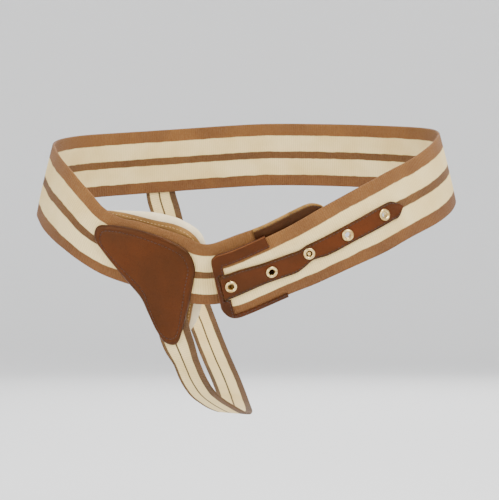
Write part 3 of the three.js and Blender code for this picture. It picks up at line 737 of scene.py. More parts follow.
def ramp(tree, value, stops, interpolation="LINEAR"):
    """Grey or colour by value; stops are places with a grey or a colour."""
    node = put(tree, "ShaderNodeValToRGB", {0: value})
    node.color_ramp.interpolation = interpolation
    elements = node.color_ramp.elements
    while len(elements) < len(stops):
        elements.new(0.5)
    for element, (place, tone) in zip(elements, stops):
        element.position = place
        element.color = tone if isinstance(tone, list) else (tone, tone, tone, 1)
    return node.outputs[0]


def noise(tree, place, scale, detail):
    inputs = {"Vector": place, "Scale": scale, "Detail": detail}
    return put(tree, "ShaderNodeTexNoise", inputs).outputs[0]


def paint(code):
    """Linear colour from a hexadecimal one."""
    parts = [int(code[i : i + 2], 16) / 255 for i in (1, 3, 5)]
    return [c / 12.92 if c <= 0.04045 else ((c + 0.055) / 1.055) ** 2.4 for c in parts] + [1]


def group_tree(name, kind, inputs, outputs):
    """Empty node group with named sockets, its given values and its output node."""
    tree = bpy.data.node_groups.new(name, kind)
    for way, sockets in (("INPUT", inputs), ("OUTPUT", outputs)):
        for label, socket in sockets.items():
            tree.interface.new_socket(label, in_out=way, socket_type=f"NodeSocket{socket}")
    return tree, tree.nodes.new("NodeGroupInput").outputs, tree.nodes.new("NodeGroupOutput")


def ridges(tree, value):
    """Row of round ridges, one for each unit of the value."""
    turn = maths(tree, "MULTIPLY", value, math.pi)
    return maths(tree, "ABSOLUTE", maths(tree, "SINE", turn))


def weave_group():
    """Elastic or plain weave from two lengths in metres: height and thread shade."""
    inputs = dict.fromkeys(("Along", "Across", "Rib", "Thread"), "Float")
    outputs = {"Height": "Float", "Shade": "Float"}
    tree, given, out = group_tree("Weave", "ShaderNodeTree", inputs, outputs)
    along = maths(tree, "DIVIDE", given["Along"], given["Rib"])
    across = maths(tree, "DIVIDE", given["Across"], given["Thread"])
    odd = maths(tree, "PINGPONG", maths(tree, "FLOOR", along), 1.0)
    rib, thread = ridges(tree, along), ridges(tree, scaled(tree, odd, 0.5, across))
    both = maths(tree, "MULTIPLY", rib, maths(tree, "POWER", thread, 0.6))
    height = scaled(tree, both, 0.65, maths(tree, "MULTIPLY", rib, 0.35))
    give(tree, out, {"Height": height, "Shade": scaled(tree, both, 0.5, 0.5)})
    return tree


def mottle_group():
    """Colour that drifts between two tones over the surface."""
    inputs = {"Vector": "Vector", "Scale": "Float", "First": "Color", "Second": "Color"}
    outputs = {"Color": "Color", "Mask": "Float"}
    tree, given, out = group_tree("Mottle", "ShaderNodeTree", inputs, outputs)
    mask = ramp(tree, noise(tree, given["Vector"], given["Scale"], 6.0), [(0.36, 0.0), (0.64, 1.0)])
    give(tree, out, {"Color": mixed(tree, mask, given["First"], given["Second"]), "Mask": mask})
    return tree


def grain_group():
    """Leather grain: pebbles between fine creases, and pores."""
    inputs, outputs = {"Vector": "Vector", "Scale": "Float"}, {"Height": "Float", "Crease": "Float"}
    tree, given, out = group_tree("Grain", "ShaderNodeTree", inputs, outputs)
    place = given["Vector"]
    bend = put(tree, "ShaderNodeTexNoise", {"Vector": place, "Scale": 260.0}).outputs["Color"]
    inputs = {0: bend, 1: (0.0012, 0.0012, 0.0012), 2: place}
    bent = put(tree, "ShaderNodeVectorMath", inputs, operation="MULTIPLY_ADD").outputs[0]
    inputs = {"Vector": bent, "Scale": given["Scale"]}
    cells = put(tree, "ShaderNodeTexVoronoi", inputs, feature="DISTANCE_TO_EDGE").outputs["Distance"]
    pebble = ramp(tree, cells, [(0.0, 0.0), (0.16, 0.75), (0.5, 1.0)], "EASE")
    pores = noise(tree, place, 2400.0, 3.0)
    height = scaled(tree, pores, 0.25, maths(tree, "MULTIPLY", pebble, 0.75))
    give(tree, out, {"Height": height, "Crease": maths(tree, "SUBTRACT", 1.0, pebble)})
    return tree


GROUPS = {}


def shared(maker):
    """Node group that its maker builds once."""
    if maker not in GROUPS:
        GROUPS[maker] = maker()
    return GROUPS[maker]


def placed(tree, maker, **inputs):
    return put(tree, "ShaderNodeGroup", inputs, node_tree=shared(maker)).outputs


def new_material(name):
    """Material with only its surface shader and output, and the place on the piece."""
    material = bpy.data.materials.new(name)
    material.use_nodes = True
    tree = material.node_tree
    tree.nodes.clear()
    shader = tree.nodes.new("ShaderNodeBsdfPrincipled")
    put(tree, "ShaderNodeOutputMaterial", {0: shader.outputs[0]})
    return material, tree, shader, put(tree, "ShaderNodeTexCoord").outputs["Object"]


def surface(tree, shader, colour, roughness, height, depth, strength=1.0, **constants):
    """Wires colour, roughness and relief to a shader, and sets its constant inputs."""
    inputs = {"Height": height, "Distance": depth, "Strength": strength}
    bump = put(tree, "ShaderNodeBump", inputs).outputs[0]
    give(tree, shader, {"Base Color": colour, "Roughness": roughness, "Normal": bump})
    give(tree, shader, {key.replace("_", " "): value for key, value in constants.items()})


def uv_parts(tree, layer):
    uv = put(tree, "ShaderNodeUVMap", uv_map=layer)
    return put(tree, "ShaderNodeSeparateXYZ", {0: uv.outputs[0]}).outputs


def webbing_material(name, borders, blur, width, brown, cream):
    """Striped elastic: brown at its lower edge, and the other colour from each border on."""
    material, tree, shader, place = new_material(name)
    along, side = uv_parts(tree, "UVMap")[:2]
    share = scaled(tree, side, 0.5, 0.5)
    wobble = scaled(tree, noise(tree, place, 90.0, 3.0), 0.03, -0.015)
    stops = [(0.0, 1.0)]
    for border in borders:
        level = stops[-1][1]
        stops += [(border - blur, level), (border + blur, 1 - level)]
    is_brown = ramp(tree, maths(tree, "ADD", share, wobble), stops)
    middle = paint("#D6D2B4")
    tint = ramp(tree, share, [(0.3, paint("#EADFD0")), (0.36, middle), (0.64, middle), (0.7, 1.0)])
    dark = placed(tree, mottle_group, Vector=place, Scale=34.0, First=brown[0], Second=brown[1])
    light = placed(tree, mottle_group, Vector=place, Scale=26.0, First=cream[0], Second=cream[1])
    dark = mixed(tree, 1.0, dark["Color"], tint, "MULTIPLY")
    across = maths(tree, "MULTIPLY", side, width / 2 * MM)
    weave = placed(tree, weave_group, Along=along, Across=across, Rib=0.0017, Thread=0.0011)
    colour = mixed(tree, is_brown, light["Color"], dark)
    shade = scaled(tree, weave["Shade"], -0.5, 0.5, clamp=True)
    colour = mixed(tree, shade, colour, paint("#A08A68"), "MULTIPLY")
    fuzz = noise(tree, place, 700.0, 4.0)
    colour = mixed(tree, maths(tree, "MULTIPLY", fuzz, 0.07), colour, paint("#E6CFA2"))
    rough = scaled(tree, weave["Shade"], -0.1, 0.92)
    height = scaled(tree, fuzz, 0.3, weave["Height"])
    surface(tree, shader, colour, rough, height, 0.0003, Sheen_Weight=0.04, Specular_IOR_Level=0.25)
    return material


def leather_material(name, light, dark, edge_rubbing_and_painted_light, roughness, scale, border=None):
    """Leather with two tones and grain, worn lighter or darker at its edges: from a border
    on towards a strip's sides, or else where the Edge layer marks them."""
    material, tree, shader, place = new_material(name)
    light, dark = paint(light), paint(dark)
    tones = placed(tree, mottle_group, Vector=place, Scale=30.0, First=light, Second=dark)
    grain = placed(tree, grain_group, Vector=place, Scale=scale)
    crease = maths(tree, "MULTIPLY", grain["Crease"], 0.35)
    colour = mixed(tree, crease, tones["Color"], dark, "MULTIPLY")
    if border:
        near = maths(tree, "ABSOLUTE", uv_parts(tree, "UVMap")[1])
        mask = ramp(tree, near, [(border, 0.0), ((1 + border) / 2, 0.7), (1.0, 0.95)])
    else:
        mask = ramp(tree, uv_parts(tree, "Edge")[0], [(0.55, 0.0), (0.95, 0.75), (1.0, 0.9)])
    patches = ramp(tree, noise(tree, place, 160.0, 5.0), [(0.3, 0.45), (0.62, 1.0)])
    # Edge colour: rubbed leather, with a painted highlight on light edges and painted shade on the
    # shield's dark rim
    colour = mixed(tree, maths(tree, "MULTIPLY", mask, patches), colour, paint(edge_rubbing_and_painted_light))
    rough = scaled(tree, noise(tree, place, 70.0, 4.0), 0.22, roughness - 0.11)
    rough = scaled(tree, mask, -0.16, rough)
    tint = paint("#FFCFA0")
    looks = {"Specular_IOR_Level": 0.3, "Specular_Tint": tint}
    surface(tree, shader, colour, rough, grain["Height"], 0.00012, 0.8, **looks)
    return material


def cloth_material(name, light, dark, shadow, pitch):
    """Plain woven cloth by the piece's own flat UVs."""
    material, tree, shader, place = new_material(name)
    along, across = uv_parts(tree, "UVMap")[:2]
    light, dark = paint(light), paint(dark)
    tones = placed(tree, mottle_group, Vector=place, Scale=40.0, First=light, Second=dark)
    weave = placed(tree, weave_group, Along=along, Across=across, Rib=pitch, Thread=pitch)
    shade = scaled(tree, weave["Shade"], -0.4, 0.4, clamp=True)
    colour = mixed(tree, shade, tones["Color"], paint(shadow), "MULTIPLY")
    fuzz = noise(tree, place, 500.0, 5.0)
    height = scaled(tree, fuzz, 0.4, weave["Height"])
    rough = scaled(tree, fuzz, 0.1, 0.82)
    surface(tree, shader, colour, rough, height, 0.0002, Sheen_Weight=0.25, Specular_IOR_Level=0.2)
    return material


def brass_material():
    """Pale brass with tarnish in patches."""
    material, tree, shader, place = new_material("brass")
    light, dark = paint("#E2CC92"), paint("#B8965A")
    tones = placed(tree, mottle_group, Vector=place, Scale=420.0, First=light, Second=dark)
    scratch = noise(tree, place, 1500.0, 6.0)
    rough = scaled(tree, tones["Mask"], 0.16, 0.24)
    surface(tree, shader, tones["Color"], rough, scratch, 0.00002, 0.5, Metallic=1.0)
    return material


def thread_material(name, light, dark):
    """Twisted sewing thread."""
    material, tree, shader, place = new_material(name)
    twist = noise(tree, place, 1800.0, 2.0)
    colour = mixed(tree, twist, paint(light), paint(dark))
    surface(tree, shader, colour, scaled(tree, twist, 0.2, 0.6), twist, 0.0001, Sheen_Weight=0.2)
    return material


# Stitches by Geometry Nodes


def stitch_tree():
    """Stitches along lines whose points carry the direction that they face."""
    sizes = dict.fromkeys(("Stitch", "Space", "Thread", "Sink"), "Float")
    inputs = {"Geometry": "Geometry", **sizes, "Thread material": "Material", "Seed": "Int"}
    tree, given, out = group_tree("Stitches", "GeometryNodeTree", inputs, {"Geometry": "Geometry"})

    def node(kind, inputs=(), output=0, **settings):
        return put(tree, kind, inputs, **settings).outputs[output]

    length, thread = given["Stitch"], given["Thread"]
    pitch = maths(tree, "ADD", length, given["Space"])
    curve = node("GeometryNodeMeshToCurve", {0: given["Geometry"]})
    line = node("GeometryNodeResampleCurve", {"Curve": curve, "Length": pitch}, mode="LENGTH")
    tangent = node("GeometryNodeInputTangent")
    name = {"Name": "facing"}
    facing = node("GeometryNodeInputNamedAttribute", name, "Attribute", data_type="FLOAT_VECTOR")
    align = "FunctionNodeAlignRotationToVector"
    turn = node(align, {"Vector": tangent}, axis="X")
    turn = node(align, {"Rotation": turn, "Vector": facing}, axis="Z", pivot_axis="X")
    bead = node("GeometryNodeMeshUVSphere", {"Segments": 8, "Rings": 6, "Radius": 0.5})
    size = node("ShaderNodeCombineXYZ", {0: length, 1: thread, 2: thread})
    bead = node("GeometryNodeTransform", {"Geometry": bead, "Scale": size})
    vary = {2: 0.88, 3: 1.08, "Seed": given["Seed"]}
    vary = node("FunctionNodeRandomValue", vary, 1, data_type="FLOAT")
    row = {"Points": line, "Instance": bead, "Rotation": turn, "Scale": vary}
    row = node("GeometryNodeInstanceOnPoints", row)
    rise = maths(tree, "MULTIPLY", thread, maths(tree, "SUBTRACT", 0.5, given["Sink"]))
    move = {"Instances": row, "Translation": node("ShaderNodeCombineXYZ", {2: rise})}
    real = node("GeometryNodeRealizeInstances", {0: node("GeometryNodeTranslateInstances", move)})
    smooth = node("GeometryNodeSetShadeSmooth", {0: real})
    last = {"Geometry": smooth, "Material": given["Thread material"]}
    give(tree, out, {0: node("GeometryNodeSetMaterial", last)})
    return tree


def stitched(name, lines, props, material, seed):
    """Rows of stitches along lines of points, each with the directions that they face."""
    points, facing = (np.concatenate(parts) for parts in zip(*lines))
    edges, start = [], 0
    for line, _ in lines:
        edges += [(start + k, start + k + 1) for k in range(len(line) - 1)]
        start += len(line)
    mesh = bpy.data.meshes.new(name)
    mesh.from_pydata((points * MM).tolist(), edges, [])
    layer = mesh.attributes.new("facing", "FLOAT_VECTOR", "POINT")
    layer.data.foreach_set("vector", facing.astype(np.float32).ravel())
    piece = shown_object(name, mesh)
    rows = piece.modifiers.new("stitches", "NODES")
    rows.node_group = shared(stitch_tree)
    values = {
        "Stitch": props.stitch_length,
        "Space": props.stitch_space,
        "Thread": props.thread,
        "Sink": 0.3,
        "Thread material": material,
        "Seed": seed,
    }
    for item in rows.node_group.interface.items_tree:
        if item.in_out == "INPUT" and item.name in values:
            rows[item.identifier] = values[item.name]
    evaluated_copy(piece)
    if not piece.data.polygons:
        raise RuntimeError(f"{name} has no stitches")
    return piece


def band_line(lengths, widths, height):
    """Line on the band's outer side, with its normals."""
    lengths, widths = np.broadcast_arrays(lengths, widths)
    return band_point(lengths, widths, height), band_normal(lengths, widths, height)


def pad_line(sizes, inset, lift):
    """Closed line inside a pad layer's outline, with its normals."""
    rim, middle = pad_outline(*sizes)
    ring = pad_ring(rim, middle, inset)
    ring = np.concatenate([ring, ring[:1]])
    normals = hip_frame(PAD_ARC + ring[:, 0], PAD_RISE + ring[:, 1])[3]
    return pad_point(ring, lift), normals


# Pieces


def finished(piece, material, slot, *nodes):
    """Gives a piece its material, its body, its slot and the solids that it stands for."""
    piece.data.materials.clear()
    piece.data.materials.append(material)
    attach(piece, BODY)
    if nodes:
        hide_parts(*nodes)
    return piece


def make_band(props):
    """Makes the striped elastic band."""
    back_from, back_to = length_at_turn([BACK_FROM, BACK_TO])
    near = len(NEAR_END)
    tail = strip_lengths(0, back_from, TIP_CORNER, 1)[:-1]
    back = strip_lengths(back_from, back_to, 1, 1, BACK_STEP)[near:-near]
    end = strip_lengths(back_to, BAND_LENGTH, 1, BAND_LOWER_CORNER)[near:]
    lengths = np.concatenate([tail, back, end])

    def edges(length):
        start = band_edges(length, 0, length, TIP_CORNER)
        end = band_edges(length, 0, BAND_LENGTH - length, BAND_CORNER, BAND_LOWER_CORNER)
        first = length < BAND_LENGTH / 2
        return np.where(first, start[0], end[0]), np.where(first, start[1], end[1])

    band = laid_strip("band_webbing", lengths, edges, 0, BAND_THICKNESS, BAND_COLUMNS)
    pierce(band)
    brown, cream = webbing_colours(props)
    borders = (0.182, 0.4425, 0.5575, 0.81)
    material = webbing_material("band_webbing", borders, 0.006, BAND_WIDTH, brown, cream)
    finished(band, material, "webbing", "hip_band")


def webbing_colours(props):
    """Two tones of the brown and two of the cream."""
    brown = tuple(props.brown), tuple(props.brown_shade)
    return brown, (tuple(props.cream), tuple(props.cream_shade))


def make_tip(props):
    """Makes the leather on the band's tail."""
    corner = TIP_CORNER + TIP_EDGE
    lengths = strip_lengths(-TIP_EDGE, TIP_LENGTH, corner, 1)

    def edges(length):
        return band_edges(length, TIP_EDGE, length + TIP_EDGE, corner)

    tip = laid_strip("tip_leather", lengths, edges, TIP_LIFT, TIP_THICKNESS, 20)
    # The third colour lightens the tip's edges: rubbed raw edges and a painted highlight
    looks = "#3A1A08", "#261004", "#94703C", 0.42, 900.0, 0.88
    finished(tip, leather_material("tip_leather", *looks), "dark_leather", "leather_tip")


def cap_contour():
    """Round the band's outer end from its upper to its lower side: contour, outward
    direction, and the edges of the front and the back window."""
    start, end = BAND_LENGTH - CAP_LENGTH, BAND_LENGTH + GAP
    corner, lower = BAND_CORNER + GAP, BAND_LOWER_CORNER + GAP
    strip_low, strip_high = strip_edges(STRIP_START)
    notch_low, notch_high = float(strip_low) - GAP, float(strip_high) + GAP
    high = float(on_route(BAND_LENGTH, "above")) + GAP
    low = -float(on_route(BAND_LENGTH, "below")) - GAP
    near = 0.2
    down = [
        np.linspace(high - corner, notch_high + near, 4),
        np.linspace(notch_high, notch_low, 12),
        np.linspace(notch_low - near, low + lower, 5),
    ]
    top, bottom = np.linspace(start, end - corner, 24), np.linspace(end - lower, start, 24)
    bend = np.linspace(0, math.pi / 2, 13)[1:-1]
    sine, cosine = np.sin(bend), np.cos(bend)
    sides = [
        (top, on_route(top, "above") + GAP, 0, 1),
        (end - corner + corner * sine, high - corner + corner * cosine, sine, cosine),
        (end, np.concatenate(down), 1, 0),
        (end - lower + lower * cosine, low + lower - lower * sine, cosine, -sine),
        (bottom, -on_route(bottom, "below") - GAP, 0, -1),
    ]
    rows = np.concatenate([np.stack(np.broadcast_arrays(*side), -1) for side in sides])
    length, width = rows[:, 0], rows[:, 1]
    in_notch = (width < notch_high + near / 2) & (width > notch_low - near / 2) & (rows[:, 2] == 1)
    front_border = np.where(in_notch, STRIP_FROM_END - GAP, CAP_END_BORDER)
    window_high = on_route(length, "above") - CAP_TOP_BORDER
    window_low = CAP_BOTTOM_BORDER - on_route(length, "below")
    inside = np.clip(width, window_low, window_high)
    front = np.stack([np.minimum(length, BAND_LENGTH - front_border), inside], -1)
    back = np.stack([np.minimum(length, BAND_LENGTH - CAP_BACK_BORDER), inside], -1)
    contour, outward = rows[:, :2], rows[:, 2:]
    for window in (front, back):
        thin = np.linalg.norm(contour - window, axis=1) < CAP_LEAST_BORDER
        window[thin] = (contour - outward * CAP_LEAST_BORDER)[thin]
    return contour, outward, front, back


def make_cap(props):
    """Makes the leather binding folded round the band's outer end."""
    contour, outward, front, back = cap_contour()
    shares = np.linspace(0, 1, 7)
    outer_front = BAND_THICKNESS + GAP + CAP_THICKNESS
    outer_back = -GAP - CAP_THICKNESS
    fold = np.linspace(math.pi / 2, -math.pi / 2, 10)[1:-1]
    middle, reach = (outer_front + outer_back) / 2, (outer_front - outer_back) / 2
    edge = 0.25
    points, heights, edge_rubbing_and_painted_light = [], [], []

    def add(place, height, fold_rubbing_and_highlight=0.0):
        points.append(place)
        heights.append(np.full(len(place), height))
        edge_rubbing_and_painted_light.append(np.full((len(place), 2), fold_rubbing_and_highlight))

    def face(window, steps, height, rounding=0.0):
        for share in steps:
            add(window + (contour - window) * share, height + (rounding if share == 0 else 0))

    face(front, shares, outer_front, -edge)
    for angle in fold:
        place = contour + outward * CAP_THICKNESS * math.cos(angle)
        # Lighter band along the fold's front shoulder: rubbed leather and a painted highlight
        fold_rubbing_and_highlight = math.exp(-(((angle - 0.95) / 0.35) ** 2))
        add(place, middle + reach * math.sin(angle), fold_rubbing_and_highlight)
    face(back, shares[::-1], outer_back, edge)
    face(back, shares, -GAP)
    for angle in fold[::-1]:
        add(contour, BAND_THICKNESS / 2 + (BAND_THICKNESS / 2 + GAP) * math.sin(angle))
    face(front, shares[::-1], BAND_THICKNESS + GAP)
    flat = np.stack(points, 1)
    places = band_point(flat[..., 0], flat[..., 1], np.stack(heights, 1))
    cap = loft("cap_leather", places, flat * MM, 40, np.stack(edge_rubbing_and_painted_light, 1))
    # The third colour is that lighter band on the fold: rubbed leather and a painted highlight
    looks = "#481E08", "#331305", "#7C4A1E", 0.4, 900.0
    finished(cap, leather_material("cap_leather", *looks), "dark_leather", "end_cap")


def make_strip(props):
    """Makes the leather strip that carries the eyelets."""
    lengths = strip_lengths(STRIP_START - STRIP_LENGTH, STRIP_START, 12, 1, 1.6)
    name = "strip_leather"
    strip = laid_strip(name, lengths, strip_edges, STRIP_LIFT, STRIP_THICKNESS, 14, 0.6)
    pierce(strip)
    looks = "#54240B", "#421C06", "#241404", 0.42, 1100.0, 0.62
    finished(strip, leather_material(name, *looks), "strip_leather", "eyelet_strip")


def arc_profile(start, end, base, rise):
    """Half turn of a section from one radius to another, over a base."""
    middle, reach = (start + end) / 2, (start - end) / 2
    angles = np.linspace(0, math.pi, 11)
    return [(middle + reach * math.cos(a), base + rise * math.sin(a)) for a in angles]


def make_eyelets(props):
    """Makes each eyelet as a turned brass ring, rounded over the strip, and the stud."""
    hole, outer = EYELET_HOLE / 2, EYELET_OUTER / 2
    barrel, face = hole + EYELET_WALL, STRIP_TOP + GAP
    profile = arc_profile(outer, hole, face, EYELET_FLANGE + EYELET_CROWN / 2)
    profile += arc_profile(hole, outer - EYELET_WALL, -GAP, -EYELET_FLANGE)
    profile += [(barrel, -GAP), (barrel, face)]
    material = brass_material()
    for index, place in enumerate(eyelet_axes(), 1):
        ring = lathe(f"eyelet_ring_{index}", profile, [place], True)
        finished(ring, material, "brass", f"eyelet_{index}")
    foot = GAP - max(STUD_ROOM, CAP_ROOM)
    shoulder, top = foot + STUD_BASE_THICKNESS, face + EYELET_FLANGE
    post, base, bevel = STUD_DIAMETER / 2, STUD_BASE / 2, 0.15
    profile = [
        (0.02, foot),
        (base - bevel, foot),
        (base, foot + bevel),
        (base, shoulder - bevel),
        (base - bevel, shoulder),
        (post + bevel, shoulder),
        (post, shoulder + bevel),
    ]
    for a in np.linspace(0, math.pi / 2 - 0.05, 7):
        profile.append((post * math.cos(a), top - post / 2 + post / 2 * math.sin(a)))
    stud = lathe("stud_pin", profile, [eyelet_axes()[STUD_EYELET - 1]], False)
    finished(stud, material, "brass", "hook_stud")


def make_shield(props):
    """Makes the pad's thick leather face with a creased border and rounded rim."""
    thick = SHIELD_THICKNESS
    crease = [(7.5, 0), (6.4, 0), (5.9, 0.22), (SHIELD_SEAM, 0.32), (5.1, 0.22), (4.6, 0)]
    rim = [(3.0, 0.05), (1.9, 0.15), (1.1, 0.42), (0.5, 0.85), (0.12, 1.3), (0, thick / 2)]
    under = [(0.1, 0.9), (0.4, 0.4), (1.0, 0.08), (2.0, 0)]
    section = [(inset, thick - depth) for inset, depth in crease + rim] + under
    shield = pad_layer("shield_leather", SHIELD, section, SHIELD_LIFT)
    # The third colour darkens the rounded rim: rubbed leather and painted shade
    looks = "#4A2008", "#3A1A06", "#241004", 0.4, 800.0
    finished(shield, leather_material("shield_leather", *looks), "dark_leather", "leather_shield")


def make_backing(props):
    """Makes the pad's tan cloth backing with a turned hem."""
    thick = BACKING_THICKNESS
    hem = [(6.0, 0.35), (4.6, 0.35), (4.2, 0.1), (3.6, 0), (1.4, 0)]
    rim = [(0.6, 0.25), (0.15, 0.6), (0, thick / 2)]
    under = [(0.15, 0.6), (0.6, 0.2), (1.4, 0), (4.0, 0)]
    section = [(inset, thick - depth) for inset, depth in hem + rim] + under
    backing = pad_layer("backing_cloth", BACKING, section, BACKING_LIFT)
    material = cloth_material("backing_cloth", "#8E6632", "#6E4C20", "#5A3C18", 0.0009)
    finished(backing, material, "backing", "pad_backing")


def flat_cushion():
    """The cushion's cover before it is filled, in its own flat plane."""
    rim, middle = pad_outline(*CUSHION, 96)
    rim = pad_ring(rim, middle, CUSHION_INSET)
    base, thick = CUSHION_ROOM / 2, CUSHION_THICKNESS - CUSHION_ROOM
    upper = [(0.35, 1), (0.7, 0.99), (0.88, 0.93), (0.96, 0.8)]
    lower = [(1, 0.6), (0.96, 0.36), (0.86, 0.17), (0.65, 0.05), (0.35, 0)]
    loops = []
    for reach, height in upper + lower:
        flat = middle + (rim - middle) * reach
        loops.append(np.column_stack([flat, np.full(len(flat), base + height * thick)]))
    points, faces = capped(loops, [(*middle, base + thick), (*middle, base)])
    return mesh_object("cushion_cover", points, faces)


def positions(mesh):
    values = np.empty(len(mesh.vertices) * 3)
    mesh.vertices.foreach_get("co", values)
    return values.reshape(-1, 3)


def set_positions(mesh, values):
    mesh.vertices.foreach_set("co", np.asarray(values, np.float32).ravel())
    mesh.update()


def fill(cover, props):
    """Swells the cover by the pressure of its filling, by a limited distance."""
    scene = bpy.context.scene
    before = positions(cover.data)
    cloth = cover.modifiers.new("filling", "CLOTH")
    cloth.settings.quality = 6
    cloth.settings.mass = 0.15
    cloth.settings.use_pressure = True
    cloth.settings.uniform_pressure_force = props.filling_pressure
    cloth.settings.effector_weights.gravity = 0
    cloth.point_cache.frame_start, cloth.point_cache.frame_end = 1, FILLING_FRAMES
    for step in range(1, FILLING_FRAMES + 1):
        scene.frame_set(step)
    shown = cover.evaluated_get(bpy.context.evaluated_depsgraph_get())
    moved = positions(shown.data) - before
    far = np.linalg.norm(moved, axis=1, keepdims=True)
    moved *= np.minimum(1, props.filling_reach / np.maximum(far, 1e-9))
    cover.modifiers.clear()
    set_positions(cover.data, before + moved)
    scene.frame_set(1)


def make_cushion(props):
    """Makes the stuffed cushion against the groin, filled by a cloth simulation."""
    cover = flat_cushion()
    bpy.context.view_layer.objects.active = cover
    cover.select_set(True)
    cover.data.remesh_voxel_size = CUSHION_MESH * MM
    bpy.ops.object.voxel_remesh()
    fill(cover, props)
    finer = cover.modifiers.new("finer", "SUBSURF")
    finer.levels = finer.render_levels = 2
    evaluated_copy(cover)
    flat = positions(cover.data) / MM
    rim, middle = pad_outline(*CUSHION, 300)
    gaps = np.linalg.norm(flat[:, None, :2] - rim[None], axis=2)
    nearest, distance = gaps.argmin(1), gaps.min(1)
    around = nearest / len(rim) * measured(np.concatenate([rim, rim[:1]]))[-1]
    seam = CUSHION_SEAM * CUSHION_THICKNESS
    near_seam = np.exp(-(((flat[:, 2] - seam) / SEAM_WIDTH) ** 2)) * np.exp(-distance / 3.0)
    flat[:, :2] += unit(middle - flat[:, :2]) * (SEAM_PINCH * near_seam)[:, None]
    pucker = np.sin(around * 2 * math.pi / PUCKER_PITCH) * np.exp(-distance / 7.0)
    outer_side = np.where(flat[:, 2] > seam, 1.0, -1.0)
    flat[:, 2] += outer_side * PUCKER * pucker * (1 - near_seam)
    flat[:, 2] = np.clip(flat[:, 2], 0.05, CUSHION_THICKNESS - 0.02)
    set_positions(cover.data, pad_point(flat, flat[:, 2]) * MM)
    dress_mesh(cover.data, flat[:, :2] * MM)
    cover.name = "cushion_cover"
    material = cloth_material("cushion_cloth", "#EBDCB8", "#DFCBA2", "#A8906A", 0.0008)
    finished(cover, material, "cushion", "pad_cushion")


def strap_lines():
    """The leg strap's middle line, with its outward directions and the bend across it."""
    tip = PAD_RISE + SHIELD_HEIGHT * SHIELD_OUTLINE["up"].min()
    top = band_edge_rise(PAD_TURN) - STRAP_TOP_ROOM
    rows = []
    for across, down in zip(STRAP_START["across"], STRAP_START["down"]):
        rise = top - down * (top - tip)
        rows.append(laid_station(PAD_ARC + across * SHIELD_WIDTH, rise, PAD_LIFT))
    middle = pelvis_point(STRAP_MIDDLE)
    for row in STRAP_RUN:
        point = pelvis_point(row)
        rows.append((point, unit(point - middle), 0.0))
    for turn, up, down, over in zip(*STRAP_END.values()):
        rise = band_edge_rise(turn) + up * BAND_WIDTH - down * CROTCH_DROP
        rows.append(laid_station(float(arc_at(turn)), rise, GAP + over * BAND_THICKNESS))
    return rows


def laid_station(arc, rise, lift):
    _, along, upward, normal = hip_frame(np.array(arc), np.array(rise))
    step_arc, step_rise = surface_step(along, upward, unit(along))
    half = STRAP_WIDTH / 2
    sides = [laid(arc + step_arc * w, rise + step_rise * w, lift) for w in (-half, half)]
    point = laid(arc, rise, lift)
    return point, normal, float(dot(point - sum(sides) / 2, normal))


def pelvis_point(row):
    right, out, down = row
    depth = BELLY_DEPTH if out < 0 else SEAT_DEPTH
    return np.array((-right * HIP_WIDTH / 2, out * depth, -down * CROTCH_DROP))


def strap_frames():
    """Lengths, points, outward and across directions and bends along the leg strap."""
    rows = strap_lines()
    fine = 3000
    line = through([row[0] for row in rows], False, fine)
    normals = through([row[1] for row in rows], False, fine)
    bends = through([[row[2], 0, 0] for row in rows], False, fine, False)
    lengths = measured(line)
    at = np.linspace(0, lengths[-1], round(lengths[-1] / STRAP_STEP) + 1)

    slopes = np.gradient(line, axis=0)
    points, forward, normal, bend = (
        sampled(at, lengths, values) for values in (line, slopes, normals, bends[:, 0])
    )
    forward = unit(forward)
    normal = unit(normal - forward * dot(normal, forward)[:, None])
    return at, points, normal, np.cross(forward, normal), bend


def strap_point(frames, width, height):
    """Points on the strap at distances across it and heights above its inner face."""
    _, points, normal, across, bend = frames
    lift = height - bend[:, None] * (width / (STRAP_WIDTH / 2)) ** 2
    return points[:, None] + across[:, None] * width[..., None] + normal[:, None] * lift[..., None]


def make_strap(props):
    """Makes the striped leg strap."""
    frames = strap_frames()
    at = frames[0]
    half = np.full(len(at), STRAP_WIDTH / 2)
    taper = end_taper(at, CUT_ROUNDING)
    width, lift, v = section_loop(-half, half, STRAP_THICKNESS, 18, taper)
    uvs = np.stack([at[:, None] * MM * np.ones_like(width), v], -1)
    strap = loft("strap_webbing", strap_point(frames, width, lift), uvs)
    brown, (_, cream) = (paint("#5E3F20"), paint("#493018")), webbing_colours(props)
    borders = (0.215, 0.534, 0.59, 0.885)
    material = webbing_material("strap_webbing", borders, 0.01, STRAP_WIDTH, brown, cream)
    finished(strap, material, "webbing", "leg_strap")


def strap_end_lines():
    """Box with a cross that sews the strap's end to the back of the band."""
    frames = strap_frames()
    at = frames[0]
    low, high, side = at[-1] - 26, at[-1] - 3, STRAP_WIDTH / 2 - 3
    corners = [(low, -side), (low, side), (high, side), (high, -side), (low, -side)]
    lines = []
    for run in (corners, [(low, -side), (high, side)], [(low, side), (high, -side)]):
        length, width = spaced(np.array(run, float), 90).T[..., None]
        near = [sampled(length[:, 0], at, values) for values in frames]
        points = strap_point(near, width, STRAP_THICKNESS)[:, 0]
        lines.append((points, near[2]))
    return lines


def cap_lines():
    """Rows inside the border of the cap's front window, where the border has room."""
    contour, _, front, _ = cap_contour()
    border = np.linalg.norm(contour - front, axis=1, keepdims=True)
    line = front + (contour - front) / border * np.minimum(CAP_SEAM, border / 2)
    runs = [[]]
    for place, width in zip(line, border[:, 0]):
        if width > 2 * CAP_SEAM:
            runs[-1].append(place)
        elif runs[-1]:
            runs.append([])
    runs = [np.array(run) for run in runs if len(run) > 3]
    top = BAND_THICKNESS + GAP + CAP_THICKNESS
    return [band_line(run[:, 0], run[:, 1], top) for run in runs]


